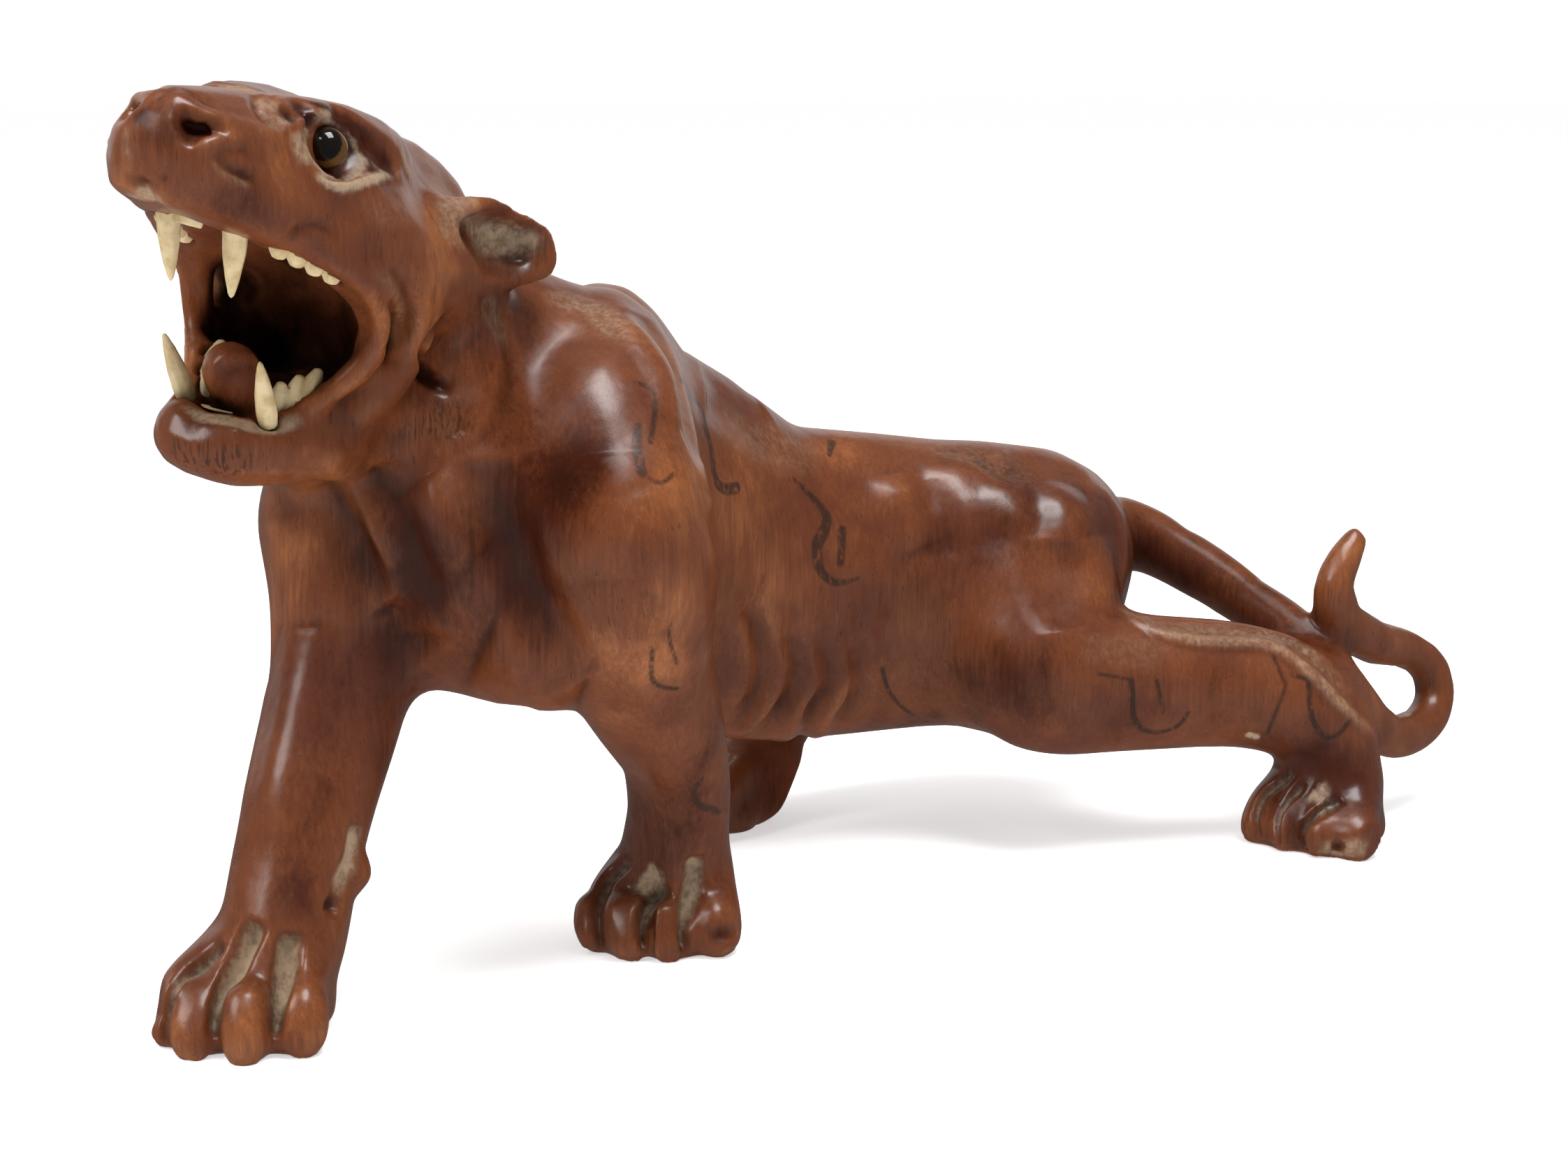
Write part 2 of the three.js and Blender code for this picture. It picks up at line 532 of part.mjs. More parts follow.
// Thinning folds edges away in rounds. A round folds those whose loss changes the surface by
// less than its limit, the cheapest first, and the next round allows more. The change is the sum
// of squared distances to the planes of the facets that met there. A fold that would pinch the
// skin, turn a facet over or leave a sliver is refused.
function thin({ positions, triangles }, target, weightAt) {
  const vertexCount = positions.length / 3;
  const quadrics = new Float64Array(vertexCount * 10);
  const around = Array.from({ length: vertexCount }, () => []);
  const point = (v) => [positions[v * 3], positions[v * 3 + 1], positions[v * 3 + 2]];
  const ringOf = (t) => [triangles[t * 3], triangles[t * 3 + 1], triangles[t * 3 + 2]];
  const normalOf = (a, b, c) => cross(add(b, a, -1), add(c, a, -1));
  for (let t = 0; t < triangles.length / 3; t += 1) {
    const ring = ringOf(t);
    const [a, b, c] = ring.map(point);
    const whole = normalOf(a, b, c);
    const n = unit(whole);
    const weight = length(whole) * weightAt(a);
    const plane = [...n, -dot(n, a)];
    for (const v of ring) {
      around[v].push(t);
      let q = v * 10;
      for (let i = 0; i < 4; i += 1) {
        for (let j = i; j < 4; j += 1) {
          quadrics[q] += plane[i] * plane[j] * weight;
          q += 1;
        }
      }
    }
  }
  const solver = new THREE.Matrix3();
  const answer = new THREE.Vector3();
  const fold = (v, w) => {
    const q = [];
    for (let i = 0; i < 10; i += 1) q.push(quadrics[v * 10 + i] + quadrics[w * 10 + i]);
    const errorAt = ([x, y, z]) => q[0] * x * x + 2 * q[1] * x * y + 2 * q[2] * x * z + 2 * q[3] * x
      + q[4] * y * y + 2 * q[5] * y * z + 2 * q[6] * y + q[7] * z * z + 2 * q[8] * z + q[9];
    const [a, b] = [point(v), point(w)];
    const middle = a.map((x, k) => (x + b[k]) / 2);
    const span = length(add(a, b, -1));
    let [place, error] = [middle, errorAt(middle)];
    solver.set(q[0], q[1], q[2], q[1], q[4], q[5], q[2], q[5], q[7]);
    if (Math.abs(solver.determinant()) > 1e-5 * (q[0] + q[4] + q[7]) ** 3) {
      const best = answer.set(-q[3], -q[6], -q[8]).applyMatrix3(solver.invert()).toArray();
      if (length(add(best, middle, -1)) < 1.2 * span) [place, error] = [best, errorAt(best)];
    } else {
      for (const end of [a, b]) if (errorAt(end) < error) [place, error] = [end, errorAt(end)];
    }
    return { v, w, place, cost: Math.abs(error) + 2e-4 * span * span };
  };
  const neighbours = (v) => {
    const found = new Set();
    for (const t of around[v]) for (const n of ringOf(t)) found.add(n);
    found.delete(v);
    return found;
  };
  const slimness = ([a, b, c], normal) => {
    const longest = Math.max(length(add(a, b, -1)), length(add(b, c, -1)), length(add(c, a, -1)));
    return length(normal) / (longest * longest + 1e-12);
  };
  const keepsFacing = (v, other, place) => {
    let outward = [0, 0, 0];
    for (const t of around[v]) outward = add(outward, normalOf(...ringOf(t).map(point)));
    outward = unit(outward);
    for (const t of around[v]) {
      const ring = ringOf(t);
      if (ring.includes(other)) continue;
      const before = ring.map(point);
      const after = ring.map((n, k) => (n === v ? place : before[k]));
      const [old, turned] = [normalOf(...before), normalOf(...after)];
      const facing = unit(turned);
      if (dot(unit(old), facing) < 0.3 && dot(outward, facing) < 0.6) return false;
      const slim = slimness(after, turned);
      if (slim < 0.1 && slim < 0.7 * slimness(before, old)) return false;
    }
    return true;
  };
  let alive = triangles.length / 3;
  for (let limit = 1e-3; alive > target && limit < 1e4; limit *= 2) {
    const folds = [];
    around.forEach((_, v) => {
      for (const w of neighbours(v)) {
        if (v > w) continue;
        const made = fold(v, w);
        if (made.cost < limit) folds.push(made);
      }
    });
    folds.sort((a, b) => a.cost - b.cost);
    const touched = new Set();
    for (const { v, w, place } of folds) {
      if (alive <= target) break;
      if (touched.has(v) || touched.has(w)) continue;
      const [nearV, nearW] = [neighbours(v), neighbours(w)];
      if ([...nearV].filter((n) => nearW.has(n)).length !== 2) continue;
      if (!keepsFacing(v, w, place) || !keepsFacing(w, v, place)) continue;
      const lost = around[v].filter((t) => around[w].includes(t));
      for (const n of nearV) around[n] = around[n].filter((t) => !lost.includes(t));
      for (const t of around[w]) {
        if (lost.includes(t)) continue;
        triangles[t * 3 + ringOf(t).indexOf(w)] = v;
        around[v].push(t);
      }
      around[v] = around[v].filter((t) => !lost.includes(t));
      around[w] = [];
      for (let i = 0; i < 10; i += 1) quadrics[v * 10 + i] += quadrics[w * 10 + i];
      for (let k = 0; k < 3; k += 1) positions[v * 3 + k] = place[k];
      alive -= 2;
      touched.add(v).add(w);
    }
  }
  const numbers = new Map();
  const points = [];
  around.forEach((own, v) => {
    if (!own.length) return;
    numbers.set(v, points.length / 3);
    points.push(...point(v));
  });
  const living = new Set(around.flat());
  return { positions: points, triangles: [...living].flatMap((t) => ringOf(t).map((v) => numbers.get(v))) };
}

// Joins and cuts
const wasm = await Module();
wasm.setup();

function toSolid(geometry, matrix = new THREE.Matrix4()) {
  const plain = geometry.clone().applyMatrix4(matrix);
  for (const name of ["normal", "uv"]) plain.deleteAttribute(name);
  const merged = mergeVertices(plain, 1e-4);
  return new wasm.Manifold(new wasm.Mesh({
    numProp: 3,
    vertProperties: new Float32Array(merged.attributes.position.array),
    triVerts: new Uint32Array(merged.index.array),
  }));
}

function toGeometry(solid) {
  const mesh = solid.getMesh();
  const geometry = new THREE.BufferGeometry();
  geometry.setAttribute("position", new THREE.BufferAttribute(mesh.vertProperties, 3));
  geometry.setIndex(new THREE.BufferAttribute(mesh.triVerts, 1));
  geometry.computeVertexNormals();
  return geometry;
}

// A matrix that stands a shape made along +Z at a place of the head, pointing to another.
function headPlace(from, to) {
  const [start, end] = [fromHead(from), fromHead(to)];
  const turn = new THREE.Quaternion().setFromUnitVectors(
    new THREE.Vector3(0, 0, 1),
    new THREE.Vector3(...unit(add(end, start, -1))),
  );
  return new THREE.Matrix4().compose(new THREE.Vector3(...start), turn, new THREE.Vector3(1, 1, 1));
}

// A tooth is a round peg with a blunt root below zero and a crown that narrows to its tip.
// The crown's outline is given as shares of its height and radius.
const pointed = [[0, 1], [0.35, 0.88], [0.7, 0.56], [0.93, 0.25]];
const blunt = [[0, 1], [0.5, 0.93], [0.9, 0.55]];

function toothShape(outline, radius, crown, root, grow, count) {
  const points = [new THREE.Vector2(0, -root - grow)];
  points.push(new THREE.Vector2(radius * 0.85 + grow, -root - grow));
  for (const [up, wide] of outline) points.push(new THREE.Vector2(radius * wide + grow, crown * up));
  points.push(new THREE.Vector2(0, crown + grow));
  return new THREE.LatheGeometry(points, count).rotateX(Math.PI / 2);
}

// A slip of bone with a square section, along a route given in the head's axes.
function slip(route, thick, grow) {
  const places = route.map((p) => new THREE.Vector3(...fromHead(p)));
  for (const [end, next] of [[0, 1], [places.length - 1, places.length - 2]]) {
    places[end].add(places[end].clone().sub(places[next]).setLength(grow));
  }
  const w = thick / 2 + grow;
  const section = new THREE.Shape([[-w, -w], [w, -w], [w, w], [-w, w]].map(
    ([a, b]) => new THREE.Vector2(a, b)));
  return toSolid(new THREE.ExtrudeGeometry(section, {
    extrudePath: new THREE.CatmullRomCurve3(places),
    steps: 6,
  }));
}

// A row of small teeth stands on a slip of bone sunk in the jaw.
function toothRow(places, radius, root, grow) {
  const sunk = places.map(([from, to]) => add(from, unit(add(to, from, -1)), -root / 2));
  return places.reduce((row, [from, to]) => {
    const crown = length(add(to, from, -1));
    return row.add(toSolid(toothShape(blunt, radius, crown, root, grow, 6), headPlace(from, to)));
  }, slip(sunk, radius, grow));
}

// The slip along the front of a jaw bows forward in the middle.
function frontSlip(forward, half, up, thick, grow) {
  const route = [-1, -0.5, 0, 0.5, 1].map((i) => [forward - 2.5 * i * i, i * half, up]);
  return slip(route, thick, grow);
}

const sides = [["left", 1], ["right", -1]];
const bone = new THREE.MeshStandardMaterial({ color: 0xd9c9a0, roughness: 0.45, metalness: 0 });
const glass = new THREE.MeshStandardMaterial({ color: 0x1a0f08, roughness: 0.05, metalness: 0 });
const carvedWood = new THREE.MeshStandardMaterial({ color: 0x6e3a24, roughness: 0.35, metalness: 0 });

// Inset pieces, each with a socket that leaves it the gap all round: the eyes, four long
// canines, a row of cheek teeth on each side above and below, and a slip of bone in each jaw.
const inset = [];
function addInset(name, material, shape) {
  inset.push({ name, material, piece: shape(0), socket: shape(gap) });
}

for (const [side, s] of sides) {
  addInset(`${side}_eye`, glass, (grow) => toSolid(
    new THREE.SphereGeometry(eyeRadius + grow, 12, 8),
    headPlace([28.8, 11.8 * s, 10], [28.8, 20 * s, 14]),
  ));
  addInset(`${side}_upper_canine`, bone, (grow) => toSolid(
    toothShape(pointed, canineRadius + 0.3, 12.5, 3, grow, 8),
    headPlace([41.8, 6.9 * s, -7.2], [37, 6.2 * s, -19]),
  ));
  addInset(`${side}_lower_canine`, bone, (grow) => toSolid(
    toothShape(pointed, canineRadius, 12, 3, grow, 8),
    headPlace([22.2, 8.9 * s, -36.4], [30.2, 10.1 * s, -27.6]),
  ));
  const upper = [0, 1, 2, 3].map((i) => {
    const [f, l, u] = [35.6 - 4 * i, (12 + 1.2 * i) * s, -8 - 0.9 * i];
    return [[f, l, u], [f - 0.6, l - 0.2 * s, u - 4.2]];
  });
  addInset(`${side}_upper_cheek_teeth`, bone, (grow) => toothRow(upper, 2.2, 2.6, grow));
  const lower = [0, 1, 2].map((i) => {
    const [f, l, u] = [16.9 - 1.7 * i, (7.4 + 1.5 * i) * s, -33.6 + 2.7 * i];
    return [[f, l, u], [f + 0.6 - 1.4 * i, l, u + 6.2]];
  });
  addInset(`${side}_lower_cheek_teeth`, bone, (grow) => toothRow(lower, 1.7, 4, grow));
}
addInset("upper_front_slip", bone, (grow) => frontSlip(47, 3.8, -7.8, 2.2, grow));
addInset("lower_front_slip", bone, (grow) => frontSlip(25.5, 5, -37.2, 2.2, grow));

// The whole tiger
const rough = facets(wood(), [
  gridLines(-162, 178, [[-162, -78]]),
  gridLines(-74, 72, [[-74, -20]]),
  gridLines(-8, 174, [[-8, 20], [92, 174]]),
]);
const headSphere = new THREE.Sphere(new THREE.Vector3(...fromHead([15, 0, -10])), 52);
const finer = (p) => (headSphere.containsPoint(new THREE.Vector3(...p)) || p[2] < 20 ? 5 : 1);
const skin = thin(rough, woodTriangles, finer);
const skinGeometry = new THREE.BufferGeometry();
skinGeometry.setAttribute("position", new THREE.Float32BufferAttribute(skin.positions, 3));
skinGeometry.setIndex(skin.triangles);
const ground = toSolid(new THREE.BoxGeometry(600, 600, 60).translate(0, 0, -30));
let tiger = toSolid(skinGeometry).subtract(ground);
for (const { socket } of inset) tiger = tiger.subtract(socket);
// A shaving that a socket sets free falls away.
tiger = tiger.decompose().reduce((a, b) => (a.volume() > b.volume() ? a : b));

const group = new THREE.Group();
function addMesh(name, geometry, material) {
  const mesh = new THREE.Mesh(geometry, material);
  mesh.name = name;
  group.add(mesh);
}
addMesh("tiger", toGeometry(tiger), carvedWood);
for (const { name, piece, material } of inset) addMesh(name, toGeometry(piece), material);

// The origin is the middle of the footprint, on the ground.
const box = new THREE.Box3().setFromObject(group);
const middle = box.getCenter(new THREE.Vector3());
group.position.set(-middle.x, -middle.y, -box.min.z);

export default group;
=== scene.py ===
# A carved wooden tiger with inset glass eyes and bone teeth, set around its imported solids.
# Metres. +Z is up, the tiger looks towards -X and turns its head to its left, -Y.
import math
import bpy
import numpy as np
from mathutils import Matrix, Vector
from mathutils.bvhtree import BVHTree


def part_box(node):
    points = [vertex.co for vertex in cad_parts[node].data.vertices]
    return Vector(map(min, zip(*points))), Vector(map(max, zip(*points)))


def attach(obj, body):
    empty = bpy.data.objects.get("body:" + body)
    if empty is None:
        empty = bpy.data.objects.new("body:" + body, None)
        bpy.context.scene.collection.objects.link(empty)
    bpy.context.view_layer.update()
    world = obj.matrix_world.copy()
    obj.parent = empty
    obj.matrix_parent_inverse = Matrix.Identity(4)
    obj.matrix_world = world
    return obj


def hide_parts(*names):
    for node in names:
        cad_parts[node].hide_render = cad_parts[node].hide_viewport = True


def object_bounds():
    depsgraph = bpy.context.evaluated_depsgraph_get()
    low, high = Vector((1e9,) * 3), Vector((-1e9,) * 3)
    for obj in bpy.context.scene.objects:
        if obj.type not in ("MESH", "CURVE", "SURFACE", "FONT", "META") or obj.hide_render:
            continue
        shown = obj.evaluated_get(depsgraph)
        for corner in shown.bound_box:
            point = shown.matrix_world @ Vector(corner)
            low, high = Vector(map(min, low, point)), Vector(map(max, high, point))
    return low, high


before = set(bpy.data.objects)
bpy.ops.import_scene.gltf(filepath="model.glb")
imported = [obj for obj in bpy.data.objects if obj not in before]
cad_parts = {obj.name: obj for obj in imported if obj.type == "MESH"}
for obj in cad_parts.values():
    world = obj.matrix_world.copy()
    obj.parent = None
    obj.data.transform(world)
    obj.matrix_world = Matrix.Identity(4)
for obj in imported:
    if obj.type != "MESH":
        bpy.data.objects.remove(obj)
cad_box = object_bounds()
mm = 0.001

# Camera
# The photograph was taken from the tiger's left front, a little above its head, with a lens
# about twice as long as the frame is wide. Carving that shows there is placed through it.
photo_width, photo_height = 2245, 1652
sensor_width = 36.0
focal_pixels = 3900
camera_place = Vector((-352.74, -442.95, 172.0)) * mm
camera_heading = math.radians(-38)
camera_tilt = math.radians(10.545)

lens = bpy.data.cameras.new("camera")
lens.sensor_width = sensor_width
lens.lens = sensor_width * focal_pixels / photo_width
camera = bpy.data.objects.new("camera", lens)
camera.location = camera_place
camera.rotation_euler = (math.pi / 2 - camera_tilt, 0, camera_heading)
bpy.context.scene.collection.objects.link(camera)
bpy.context.scene.camera = camera
camera_turn = camera.rotation_euler.to_matrix()


def sight(u, v):
    """The direction in which the camera sees a point of the photograph."""
    x, y = (u - photo_width / 2) / focal_pixels, (photo_height / 2 - v) / focal_pixels
    return (camera_turn @ Vector((x, y, -1))).normalized()


# Wood: the form
# The whole tiger is one block of reddish brown hardwood. A copy of its solid is merged, given
# an even skin and rubbed smooth: strongly on the body, less on the tail, little on the head.
skin_cell = 0.7 * mm
merge_gap = 0.002 * mm
spread_pull = 0.6
body_rounds = 44
paw_rounds = 50
head_share, tail_share = 0.12, 0.4  # of the rubbing


def even_copy(node, name, cell):
    """A new object with the merged form of a CAD node on an even grid of faces."""
    bpy.ops.object.select_all(action="DESELECT")
    piece = bpy.data.objects.new(name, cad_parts[node].data.copy())
    bpy.context.scene.collection.objects.link(piece)
    bpy.context.view_layer.objects.active = piece
    piece.select_set(True)
    bpy.ops.object.mode_set(mode="EDIT")
    bpy.ops.mesh.select_all(action="SELECT")
    bpy.ops.mesh.remove_doubles(threshold=merge_gap)
    bpy.ops.object.mode_set(mode="OBJECT")
    remesh = piece.modifiers.new("skin", "REMESH")
    remesh.mode = "VOXEL"
    remesh.voxel_size = cell
    bpy.ops.object.modifier_apply(modifier=remesh.name)
    piece.data.materials.clear()
    return piece


def read_mesh(piece):
    """The points and the edges of a mesh as arrays."""
    points = np.empty(len(piece.data.vertices) * 3)
    piece.data.vertices.foreach_get("co", points)
    edges = np.empty(len(piece.data.edges) * 2, np.int32)
    piece.data.edges.foreach_get("vertices", edges)
    return points.reshape(-1, 3), edges.reshape(-1, 2)


def read_normals(piece):
    """The outward directions at the points of a mesh."""
    directions = np.empty(len(piece.data.vertices) * 3)
    piece.data.vertices.foreach_get("normal", directions)
    return directions.reshape(-1, 3)


def spread(values, edges, share, rounds):
    """Values on the points drawn towards the mean of their neighbours."""
    ends, others = np.concatenate([edges, edges[:, ::-1]]).T
    count = np.bincount(ends, minlength=len(values))
    for _ in range(rounds):
        mean = np.stack([np.bincount(ends, values[others, k], len(values)) / count
                         for k in range(values.shape[1])], axis=1)
        values = values + spread_pull * share[:, None] * (mean - values)
    return values


def rub(points, edges, share, rounds):
    """Smooths the points, then gives back the thickness that smoothing takes."""
    smooth = spread(points, edges, share, rounds)
    return smooth + spread(points - smooth, edges, share, rounds)


def ease(value, low, high):
    """0 below low, 1 above high, smooth between."""
    t = np.clip((value - low) / (high - low), 0, 1)
    return t * t * (3 - 2 * t)


# The head's own axes, as on the solid: forward, to the tiger's left, and up.
head_place = np.array((-110.18, -3.28, 146.3)) * mm
head_yaw, head_pitch, head_roll = (math.radians(a) for a in (30, 11, 12))
head_forward = np.array((-math.cos(head_yaw) * math.cos(head_pitch),
                         -math.sin(head_yaw) * math.cos(head_pitch), math.sin(head_pitch)))
level_left = np.array((math.sin(head_yaw), -math.cos(head_yaw), 0))
level_up = np.cross(head_forward, level_left)
head_left = level_left * math.cos(head_roll) - level_up * math.sin(head_roll)
head_up = level_up * math.cos(head_roll) + level_left * math.sin(head_roll)
head_axes = np.stack([head_forward, head_left, head_up])

wood = even_copy("tiger", "carved_wood", skin_cell)
points, edges = read_mesh(wood)
in_head = (points - head_place) @ head_axes.T / mm
head_middle = (12, 0, -10)
head_near = 1 - ease(np.linalg.norm(in_head - head_middle, axis=1), 46, 58)
paw_near = 1 - ease(points[:, 2] / mm, 18, 30)
tail_near = ease(points[:, 0] / mm, 100, 118)
share = np.ones(len(points))
for near, part in ((tail_near, tail_share), (head_near, head_share)):
    share += near * (part - share)
points = rub(points, edges, share, body_rounds)
sole = 1 - ease(points[:, 2] / mm, 1.0, 5.0)
points = rub(points, edges, paw_near * (1 - sole), paw_rounds)
wood.data.vertices.foreach_set("co", points.ravel())
wood.data.update()

# Wood: carving
# The gouge's strokes follow the photograph. Each is a line on the skin with a width and a
# depth, cut round or raised. A row of a table below holds points of the photograph, then the
# stroke's width and depth in millimetres and, where it needs them, its dust (painted sheen on
# the upper sides), ends and softness.
faces = [tuple(p.vertices) for p in wood.data.polygons]
skin = BVHTree.FromPolygons([Vector(p) for p in points], faces)
normals = read_normals(wood)
lift = np.zeros(len(points))  # outward, in metres
dust = np.zeros(len(points))


def seen(*pixels):
    """The points of the skin that the camera sees at points of the photograph."""
    found = []
    for u, v in pixels:
        hit = skin.ray_cast(camera_place, sight(u, v))[0]
        if hit is not None:
            found.append(np.array(hit))
    return found


def on_head(*places):
    """The points of the skin nearest to places in the head's axes, in millimetres."""
    return [np.array(skin.find_nearest(Vector(head_place + np.array(p) * mm @ head_axes))[0])
            for p in places]


def mirrored(line):
    """The same line on the other side of the head."""
    local = (np.array(line) - head_place) @ head_axes.T / mm
    return on_head(*(local * (1, -1, 1)))


def line_through(stops, steps=6):
    """A smooth line on the skin through a few points of it."""
    stops = np.array(stops)
    if len(stops) < 2:
        return stops
    padded = np.concatenate([stops[:1] * 2 - stops[1:2], stops, stops[-1:] * 2 - stops[-2:-1]])
    line = []
    for a, b, c, d in zip(padded, padded[1:], padded[2:], padded[3:]):
        for t in np.arange(steps) / steps:
            line.append(b + 0.5 * t * (c - a + t * (2 * a - 5 * b + 4 * c - d
                        + t * (3 * (b - c) + d - a))))
    line.append(stops[-1])
    line = np.array([skin.find_nearest(Vector(p))[0] for p in line])
    for _ in range(4):
        line[1:-1] = (line[:-2] + 2 * line[1:-1] + line[2:]) / 4
    return line


def near_line(line, reach):
    """The skin's points within reach of a line, their distances and their places along it."""
    box = np.all((points > line.min(0) - reach) & (points < line.max(0) + reach), axis=1)
    index = np.nonzero(box)[0]
    spots = points[index]
    best = np.full(len(index), np.inf)
    along = np.zeros(len(index))
    for i in range(max(len(line) - 1, 1)):
        a, b = line[i], line[min(i + 1, len(line) - 1)]
        d = b - a
        t = np.clip((spots - a) @ d / max(d @ d, 1e-12), 0, 1)
        away = np.linalg.norm(spots - a - t[:, None] * d, axis=1)
        closer = away < best
        best[closer] = away[closer]
        along[closer] = ((i + t) / max(len(line) - 1, 1))[closer]
    keep = best < reach
    index, best, along = index[keep], best[keep], along[keep]
    middle = np.array(skin.find_nearest(Vector(line[len(line) // 2]))[1])
    facing = normals[index] @ middle > -0.2
    return index[facing], best[facing], along[facing]


def stroke(stops, width, depth, dusty=0.0, ends=0.25, soft=1.0, tip=1.0):
    """One cut of the gouge, or a raised form where depth is negative, in millimetres.
    It narrows to the tip's share of its width, and its dust thins out there. Dust below 0
    wipes the skin clean."""
    # On the upper sides, the dust a stroke lays also stands for painted sheen.
    line = line_through(stops)
    if len(line) == 0:
        return
    index, away, along = near_line(line, width / 2 * mm)
    narrow = 1 + (tip - 1) * ease(along, 0.3, 1.0)
    taper = np.sqrt(np.clip(np.minimum(along, 1 - along) / max(ends, 1e-3), 0, 1)) if ends else 1
    hollow = np.clip(1 - (away / (width / 2 * mm * narrow)) ** 2, 0, 1) ** soft * taper
    lift[index] -= depth * mm * hollow
    if dusty < 0:
        dust[index] *= 1 + dusty * np.minimum(1, 2 * hollow)
    else:
        dust[index] = np.maximum(dust[index], dusty * narrow * np.minimum(1, 1.25 * hollow))


def form(pixels, width, height, dusty=0.0):
    """A broad, soft swelling along points of the photograph, or a valley below 0."""
    stroke(seen(*pixels), width, -height, dusty, ends=0 if len(pixels) < 3 else 0.3, soft=2.0)


def both_sides(stops, *sizes, **more):
    """The same stroke on the near side of the head and on the far side."""
    if len(stops):
        stroke(stops, *sizes, **more)
        stroke(mirrored(stops), *sizes, **more)


# Where the solid's parts meet with an edge that the photograph does not show, the skin is
# melted together first. The hollow of the far cheek is melted likewise.
melt_rounds = 220
melting = np.zeros(len(points))
cheek_hollow, cheek_radius = ((613, 500), (628, 545)), 9
seams = ((613, 500, 7), (622, 535, 4), (735, 665, 14), (790, 640, 13), (850, 665, 9),
         (720, 585, 12), (450, 880, 15), (545, 885, 9), (870, 690, 10), (1010, 760, 9),
         (1340, 700, 12), (1530, 830, 10), (1450, 690, 12))
meetings = [(spot, radius) for u, v, radius in seams for spot in seen((u, v))]
meetings += [(spot, cheek_radius) for spot in mirrored(seen(*cheek_hollow))]
for spot, radius in meetings:
    away = np.linalg.norm(points - spot, axis=1) / (radius * mm)
    melting = np.maximum(melting, np.exp(-away * away))
points = spread(points, edges, melting, melt_rounds)
wood.data.vertices.foreach_set("co", points.ravel())
wood.data.update()
skin = BVHTree.FromPolygons([Vector(p) for p in points], faces)
normals = read_normals(wood)

# Eyes' surroundings: a rim round the eye, dark scoops in the brow and two dusty lids.
eye_place = (29.5, 15.5, 10)


def round_eye(radius, start, stop, count):
    """Points of an arc round the left eye, on the skin. Degrees from forward over the top."""
    turns = (math.radians(start + (stop - start) * i / (count - 1)) for i in range(count))
    return on_head(*((eye_place[0] + radius * math.cos(a), eye_place[1],
                      eye_place[2] + radius * math.sin(a)) for a in turns))


both_sides(round_eye(4.9, 0, 360, 21), 3.8, 0, ends=0, dusty=0.75, soft=1.5)
eye_cuts = (
    (((376, 138), (390, 163), (410, 190)), 7.0, 0, 0.45),
    (((427, 186), (430, 210), (440, 234)), 5.0, 0, 0.7),
    (((450, 246), (472, 256), (500, 256), (522, 244)), 3.2, 0.9, 0.35),
    (((443, 243), (456, 260), (472, 269), (504, 276), (526, 263), (545, 252),
     (575, 247)), 2.8, -0.6, 1.0),
    (((412, 172), (422, 154), (442, 146)), 4.6, 1.4, -1),
    (((444, 166), (447, 174)), 3.4, 1.3, -1, 0),
    (((474, 156), (494, 166), (516, 184), (534, 203)), 4.6, 1.2, -1),
    (((520, 194), (535, 208), (551, 222), (570, 240)), 6.4, 1.4, -1),
    (((361, 129), (363, 154), (383, 176), (404, 193)), 2.0, 0.5),
    (((380, 131), (391, 157), (412, 180)), 1.8, 0.35),
    (((504, 136), (546, 161), (570, 190), (578, 228), (600, 262)), 3.4, -0.4, 0.45))
for pixels, *sizes in eye_cuts:
    both_sides(seen(*pixels), *sizes)

# Nose and upper lip: the nose's upper edge, its wings and the whisker cuts. The nostrils are
# drawn a little closed.


def pinch(spots, reach, share):
    """Draws the skin round each spot towards the line that leaves the wood there."""
    for spot in spots:
        out = np.array(skin.find_nearest(Vector(spot + head_forward * 3 * mm))[1])
        away = points - spot
        sideways = away - (away @ out)[:, None] * out
        near = np.clip(1 - np.linalg.norm(away, axis=1) / (reach * mm), 0, 1)
        points[:] -= sideways * (share * near ** 0.7)[:, None]


nose_cuts = (
    (both_sides, ((236, 140), (268, 148), (302, 163), (336, 182), (369, 189),
     (395, 194)), 6.0, -1.0, 0, 0.25, 2.0),
    (stroke, ((283, 184), (300, 181), (320, 182)), 3.4, 1.1),
    (stroke, ((264, 204), (285, 199), (312, 186)), 2.4, 0.7),
    (stroke, ((281, 210), (300, 200), (320, 192)), 3.4, -0.8, 0.25),
    (both_sides, ((322, 198), (345, 205), (390, 214)), 5.0, -0.8, 0, 0.25, 2.0),
    (both_sides, ((312, 219), (334, 213), (358, 215)), 2.0, 0.7),
    (both_sides, ((304, 219), (326, 243), (368, 260)), 2.6, 0.9),
    (both_sides, ((300, 227), (322, 251), (364, 268)), 2.2, -0.5, 0.35),
    (stroke, ((228, 252), (240, 255)), 2.6, 0.8),
    (stroke, ((176, 246), (205, 262), (228, 262)), 2.4, 0.7),
    (stroke, ((184, 178), (180, 205), (188, 235)), 4.0, 0, 0.35),
    (stroke, ((185, 283), (205, 280), (235, 286)), 5.0, 0.2, 0.7),
    # The pale band over the brow and along the nose's top is dust with painted sheen.
    (stroke, ((225, 118), (265, 120), (320, 126), (375, 130)), 9.0, 0.1, 0.62))
for cut, pixels, *sizes in nose_cuts:
    cut(seen(*pixels), *sizes)

